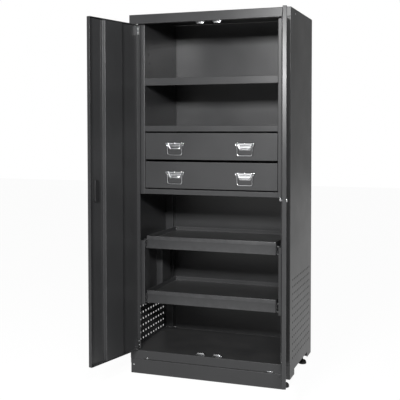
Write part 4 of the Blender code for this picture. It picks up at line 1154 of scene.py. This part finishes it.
class CABINET_OT_lock(bpy.types.Operator):
    """Cam lock: barrel with a black block as the painted shade of its keyway, nut, and the cam behind it"""

    bl_idname = "cabinet.lock"
    bl_label = "Lock"

    def execute(self, context):
        u, z, door = LOCK_U, LOCK_Z, "right_door"
        seat, rear = DOOR_OUTER - GAP, DOOR_INNER + 0.007
        threads = np.arange(seat, rear, 0.0008)
        ridge = np.where(np.arange(len(threads)) % 2, 0.0090, 0.0084)
        face, brim = seat - 0.0036, seat - 0.0040
        head = [(0.0050, seat - 0.0034), (0.0056, face), (0.0064, face), (0.0068, brim)]
        head += [(0.0098, brim), (0.0112, seat - 0.0032), (0.0115, seat - 0.0020), (0.0115, seat)]
        profile = np.r_[head, np.c_[ridge, threads], [(0.0084, rear)]]
        nut = hex_nut((u, DOOR_OUTER + THIN, z), BACK, 0.0135, 0.0035)
        parts = [turned(profile, 28, (u, 0, z), BACK), nut]
        make_piece("lock_cylinder", parts, "lock_barrel", "bright_chrome", door, 1, soften=False)
        # The keyway is no slot: a thin black block set in the barrel's face stands in for the shade inside
        # it, as painted shade
        slit_half, slit_height = 0.0006, 0.0030
        slit_low = (u - slit_half, seat - 0.0037, z - slit_height)
        slit = block(slit_low, (u + slit_half, seat - 0.0030, z + slit_height), 0.0003)
        make_piece("lock_keyway", [slit], None, "black_moulding", door, 1, soften=False)
        eye, neck, tongue, tip = 0.0088, -0.004, -0.013, (-0.052, 0.0065)
        outline = [(0.009, -eye), (0.009, eye), (neck, eye), (tongue, tip[1]), tip]
        outline += [(tip[0], -tip[1]), (tongue, -tip[1]), (neck, -eye)]
        level, stock, edge = rear + GAP, 0.003, 0.0005
        heights = level + np.array([0, edge, stock - edge, stock])
        cam = plate(outline, 0.002, [edge, 0, 0, edge], heights, (u, 0, z), [0, 1, 1, 0])
        parts = [cam, screw_head((u, level + stock, z), BACK, 0.0050)]
        make_piece("lock_tongue", parts, "lock_cam", "zinc_plate", "cam", 1, soften=False)
        return {"FINISHED"}


class CABINET_OT_catches(bpy.types.Operator):
    """Magnet catches at the top and the bottom of the doorway"""

    bl_idname = "cabinet.catches"
    bl_label = "Magnet catches"

    def execute(self, context):
        offset, base, case, bar, ear, stock, bar_height = 0.048, 0.027, 0.019, 0.017, 0.0232, 0.002, 0.0022
        for level, inward in INWARD:
            (_, front, low), (_, rear, high) = span(f"{level}_catch")
            seat = high if inward < 0 else low
            face = seat + inward * (high - low - 0.0002)
            parts = []
            for x in (-offset, offset):
                plate_end = (x + base, rear - 0.001, seat + inward * stock)
                parts.append(block((x - base, front + 0.001, seat), plate_end, 0.0007))
                case_start = (x - case, front + 0.0006, seat + inward * 0.001)
                parts.append(block(case_start, (x + case, rear, face), 0.0012))
                for rail in (0.0030, 0.0082):
                    bar_end = (x + bar, front + stock, seat + inward * (rail + bar_height))
                    parts.append(block((x - bar, front, seat + inward * rail), bar_end, 0.0004))
                for screw_x in (x - ear, x + ear):
                    place = (screw_x, (front + rear) / 2, seat + inward * stock)
                    parts.append(screw_head(place, (0, 0, inward), 0.0026))
            make_piece(f"{level}_magnet_catch", parts, f"{level}_catch", "zinc_plate", soften=False)
        return {"FINISHED"}


class CABINET_OT_stage(bpy.types.Operator):
    """Pale floor, soft light, white background and the camera"""

    bl_idname = "cabinet.stage"
    bl_label = "Stage"

    def execute(self, context):
        scene = context.scene
        stage = scene.cabinet_stage
        scene.view_settings.view_transform = "Standard"
        reach = 14.0
        corners = [(-reach, -reach, 0), (reach, -reach, 0), (reach, reach, 0), (-reach, reach, 0)]
        mesh = bpy.data.meshes.new("studio_floor")
        mesh.from_pydata(corners, [], [(0, 1, 2, 3)])
        floor = bpy.data.objects.new("studio_floor", mesh)
        scene.collection.objects.link(floor)
        mesh.materials.append(self.floor_finish())
        self.world(scene, stage)
        self.lamp(scene, "pale_card", stage.card_power, stage.card_place, stage.card_size)
        for number, (power, across) in enumerate(zip(stage.lamp_power, stage.lamp_row)):
            place = (across, FRONT - stage.lamp_distance, stage.lamp_height)
            self.lamp(scene, f"soft_lamp_{number}", power, place, stage.lamp_size)
        camera = bpy.data.cameras.new("studio_camera")
        camera.lens = stage.lens
        camera.sensor_width = 36
        camera.shift_y = stage.rise
        view = bpy.data.objects.new("studio_camera", camera)
        view.location = stage.camera
        view.rotation_euler = stage.heading
        scene.collection.objects.link(view)
        scene.camera = view
        return {"FINISHED"}

    def rays(self, tree):
        """One for rays from the camera, and one for mirrored and passed rays."""
        kinds = tree.nodes.new("ShaderNodeLightPath").outputs
        mirrored = math_node(tree, "MAXIMUM", kinds["Is Glossy Ray"], kinds["Is Transmission Ray"])
        return kinds["Is Camera Ray"], mirrored

    def floor_finish(self):
        """Pale floor that looks white and keeps a soft shadow: matt to light, and mixed with a white glow for
        rays from the camera and, less, for mirrored rays.
        """
        grey, white, glow, seen_share, mirrored_share = (0.45, 0.45, 0.45, 1), (1, 1, 1, 1), 1.18, 0.82, 0.5
        made = bpy.data.materials.new("pale_floor")
        made.use_nodes = True
        tree = made.node_tree
        tree.nodes.clear()
        matt = add(tree, "ShaderNodeBsdfDiffuse", {"Color": grey}).outputs[0]
        bright = add(tree, "ShaderNodeEmission", {"Color": white, "Strength": glow}).outputs[0]
        seen, mirrored = self.rays(tree)
        mirrored = times(tree, mirrored, mirrored_share)
        share = math_node(tree, "MAXIMUM", times(tree, seen, seen_share), mirrored)
        surface = add(tree, "ShaderNodeMixShader", {0: share, 1: matt, 2: bright}).outputs[0]
        add(tree, "ShaderNodeOutputMaterial", {"Surface": surface})
        return made

    def world(self, scene, stage):
        """White to the eye. Mirrored rays meet a white backdrop behind the object and a greyer room beside
        it, and the light from all round is lower.
        """
        backdrop_edge, backdrop_level = (0.72, 0.93), 0.6
        surround = bpy.data.worlds.new("studio_white")
        surround.use_nodes = True
        tree = surround.node_tree
        tree.nodes.clear()
        seen, mirrored = self.rays(tree)
        direction = tree.nodes.new("ShaderNodeTexCoord").outputs["Generated"]
        behind = (-math.sin(stage.heading[2]), math.cos(stage.heading[2]), 0.0)
        facing = add(tree, "ShaderNodeVectorMath", {0: direction, 1: behind}, operation="DOT_PRODUCT")
        backdrop = ranged(tree, facing.outputs["Value"], *backdrop_edge, stage.surround, backdrop_level)
        level = add(tree, "ShaderNodeMix", {0: mirrored, 2: stage.ambient, 3: backdrop}).outputs[0]
        level = add(tree, "ShaderNodeMix", {0: seen, 2: level, 3: 1.0}).outputs[0]
        light = add(tree, "ShaderNodeBackground", {"Color": (1, 1, 1, 1), "Strength": level})
        add(tree, "ShaderNodeOutputWorld", {"Surface": light.outputs[0]})
        scene.world = surround

    def lamp(self, scene, name, power, place, size):
        """One rectangular lamp, turned from its place to the middle of the cabinet."""
        aim = np.array([0.0, 0.0, 1.2])
        light = bpy.data.lights.new(name, "AREA")
        light.shape = "RECTANGLE"
        light.size, light.size_y = size
        light.energy = power
        holder = bpy.data.objects.new(name, light)
        holder.location = place
        x, y, z = aim - np.array(place)
        holder.rotation_euler = (math.atan2(math.hypot(x, y), -z), 0, math.atan2(-x, y))
        holder.visible_camera = False
        scene.collection.objects.link(holder)


OPERATORS = (
    CABINET_OT_stage,
    CABINET_OT_side_panels,
    CABINET_OT_front_frame,
    CABINET_OT_back,
    CABINET_OT_floor,
    CABINET_OT_feet,
    CABINET_OT_liners,
    CABINET_OT_shelves,
    CABINET_OT_drawers,
    CABINET_OT_handles,
    CABINET_OT_trays,
    CABINET_OT_doors,
    CABINET_OT_pulls,
    CABINET_OT_pivots,
    CABINET_OT_lock,
    CABINET_OT_catches,
)
SETTINGS = (
    ("cabinet_sizes", CabinetSizes),
    ("cabinet_finishes", CabinetFinishes),
    ("cabinet_stage", CabinetStage),
)


class CABINET_PT_panel(bpy.types.Panel):
    """Lists the cabinet's settings and the pieces that can be built"""

    bl_idname = "CABINET_PT_panel"
    bl_label = "Tool cabinet"
    bl_space_type = "VIEW_3D"
    bl_region_type = "UI"
    bl_category = "Cabinet"

    def draw(self, context):
        for group, kind in SETTINGS:
            box = self.layout.box()
            box.label(text=kind.__doc__)
            for name in kind.__annotations__:
                box.prop(getattr(context.scene, group), name)
        for operator in OPERATORS:
            self.layout.operator(operator.bl_idname)


def register():
    for name, kind in SETTINGS:
        bpy.utils.register_class(kind)
        setattr(bpy.types.Scene, name, bpy.props.PointerProperty(type=kind))
    for kind in (*OPERATORS, CABINET_PT_panel):
        bpy.utils.register_class(kind)


def unregister():
    for kind in (CABINET_PT_panel, *reversed(OPERATORS)):
        bpy.utils.unregister_class(kind)
    for name, kind in reversed(SETTINGS):
        delattr(bpy.types.Scene, name)
        bpy.utils.unregister_class(kind)


def main():
    register()
    for operator in OPERATORS:
        group, name = operator.bl_idname.split(".")
        getattr(getattr(bpy.ops, group), name)()


if __name__ == "__main__":
    main()
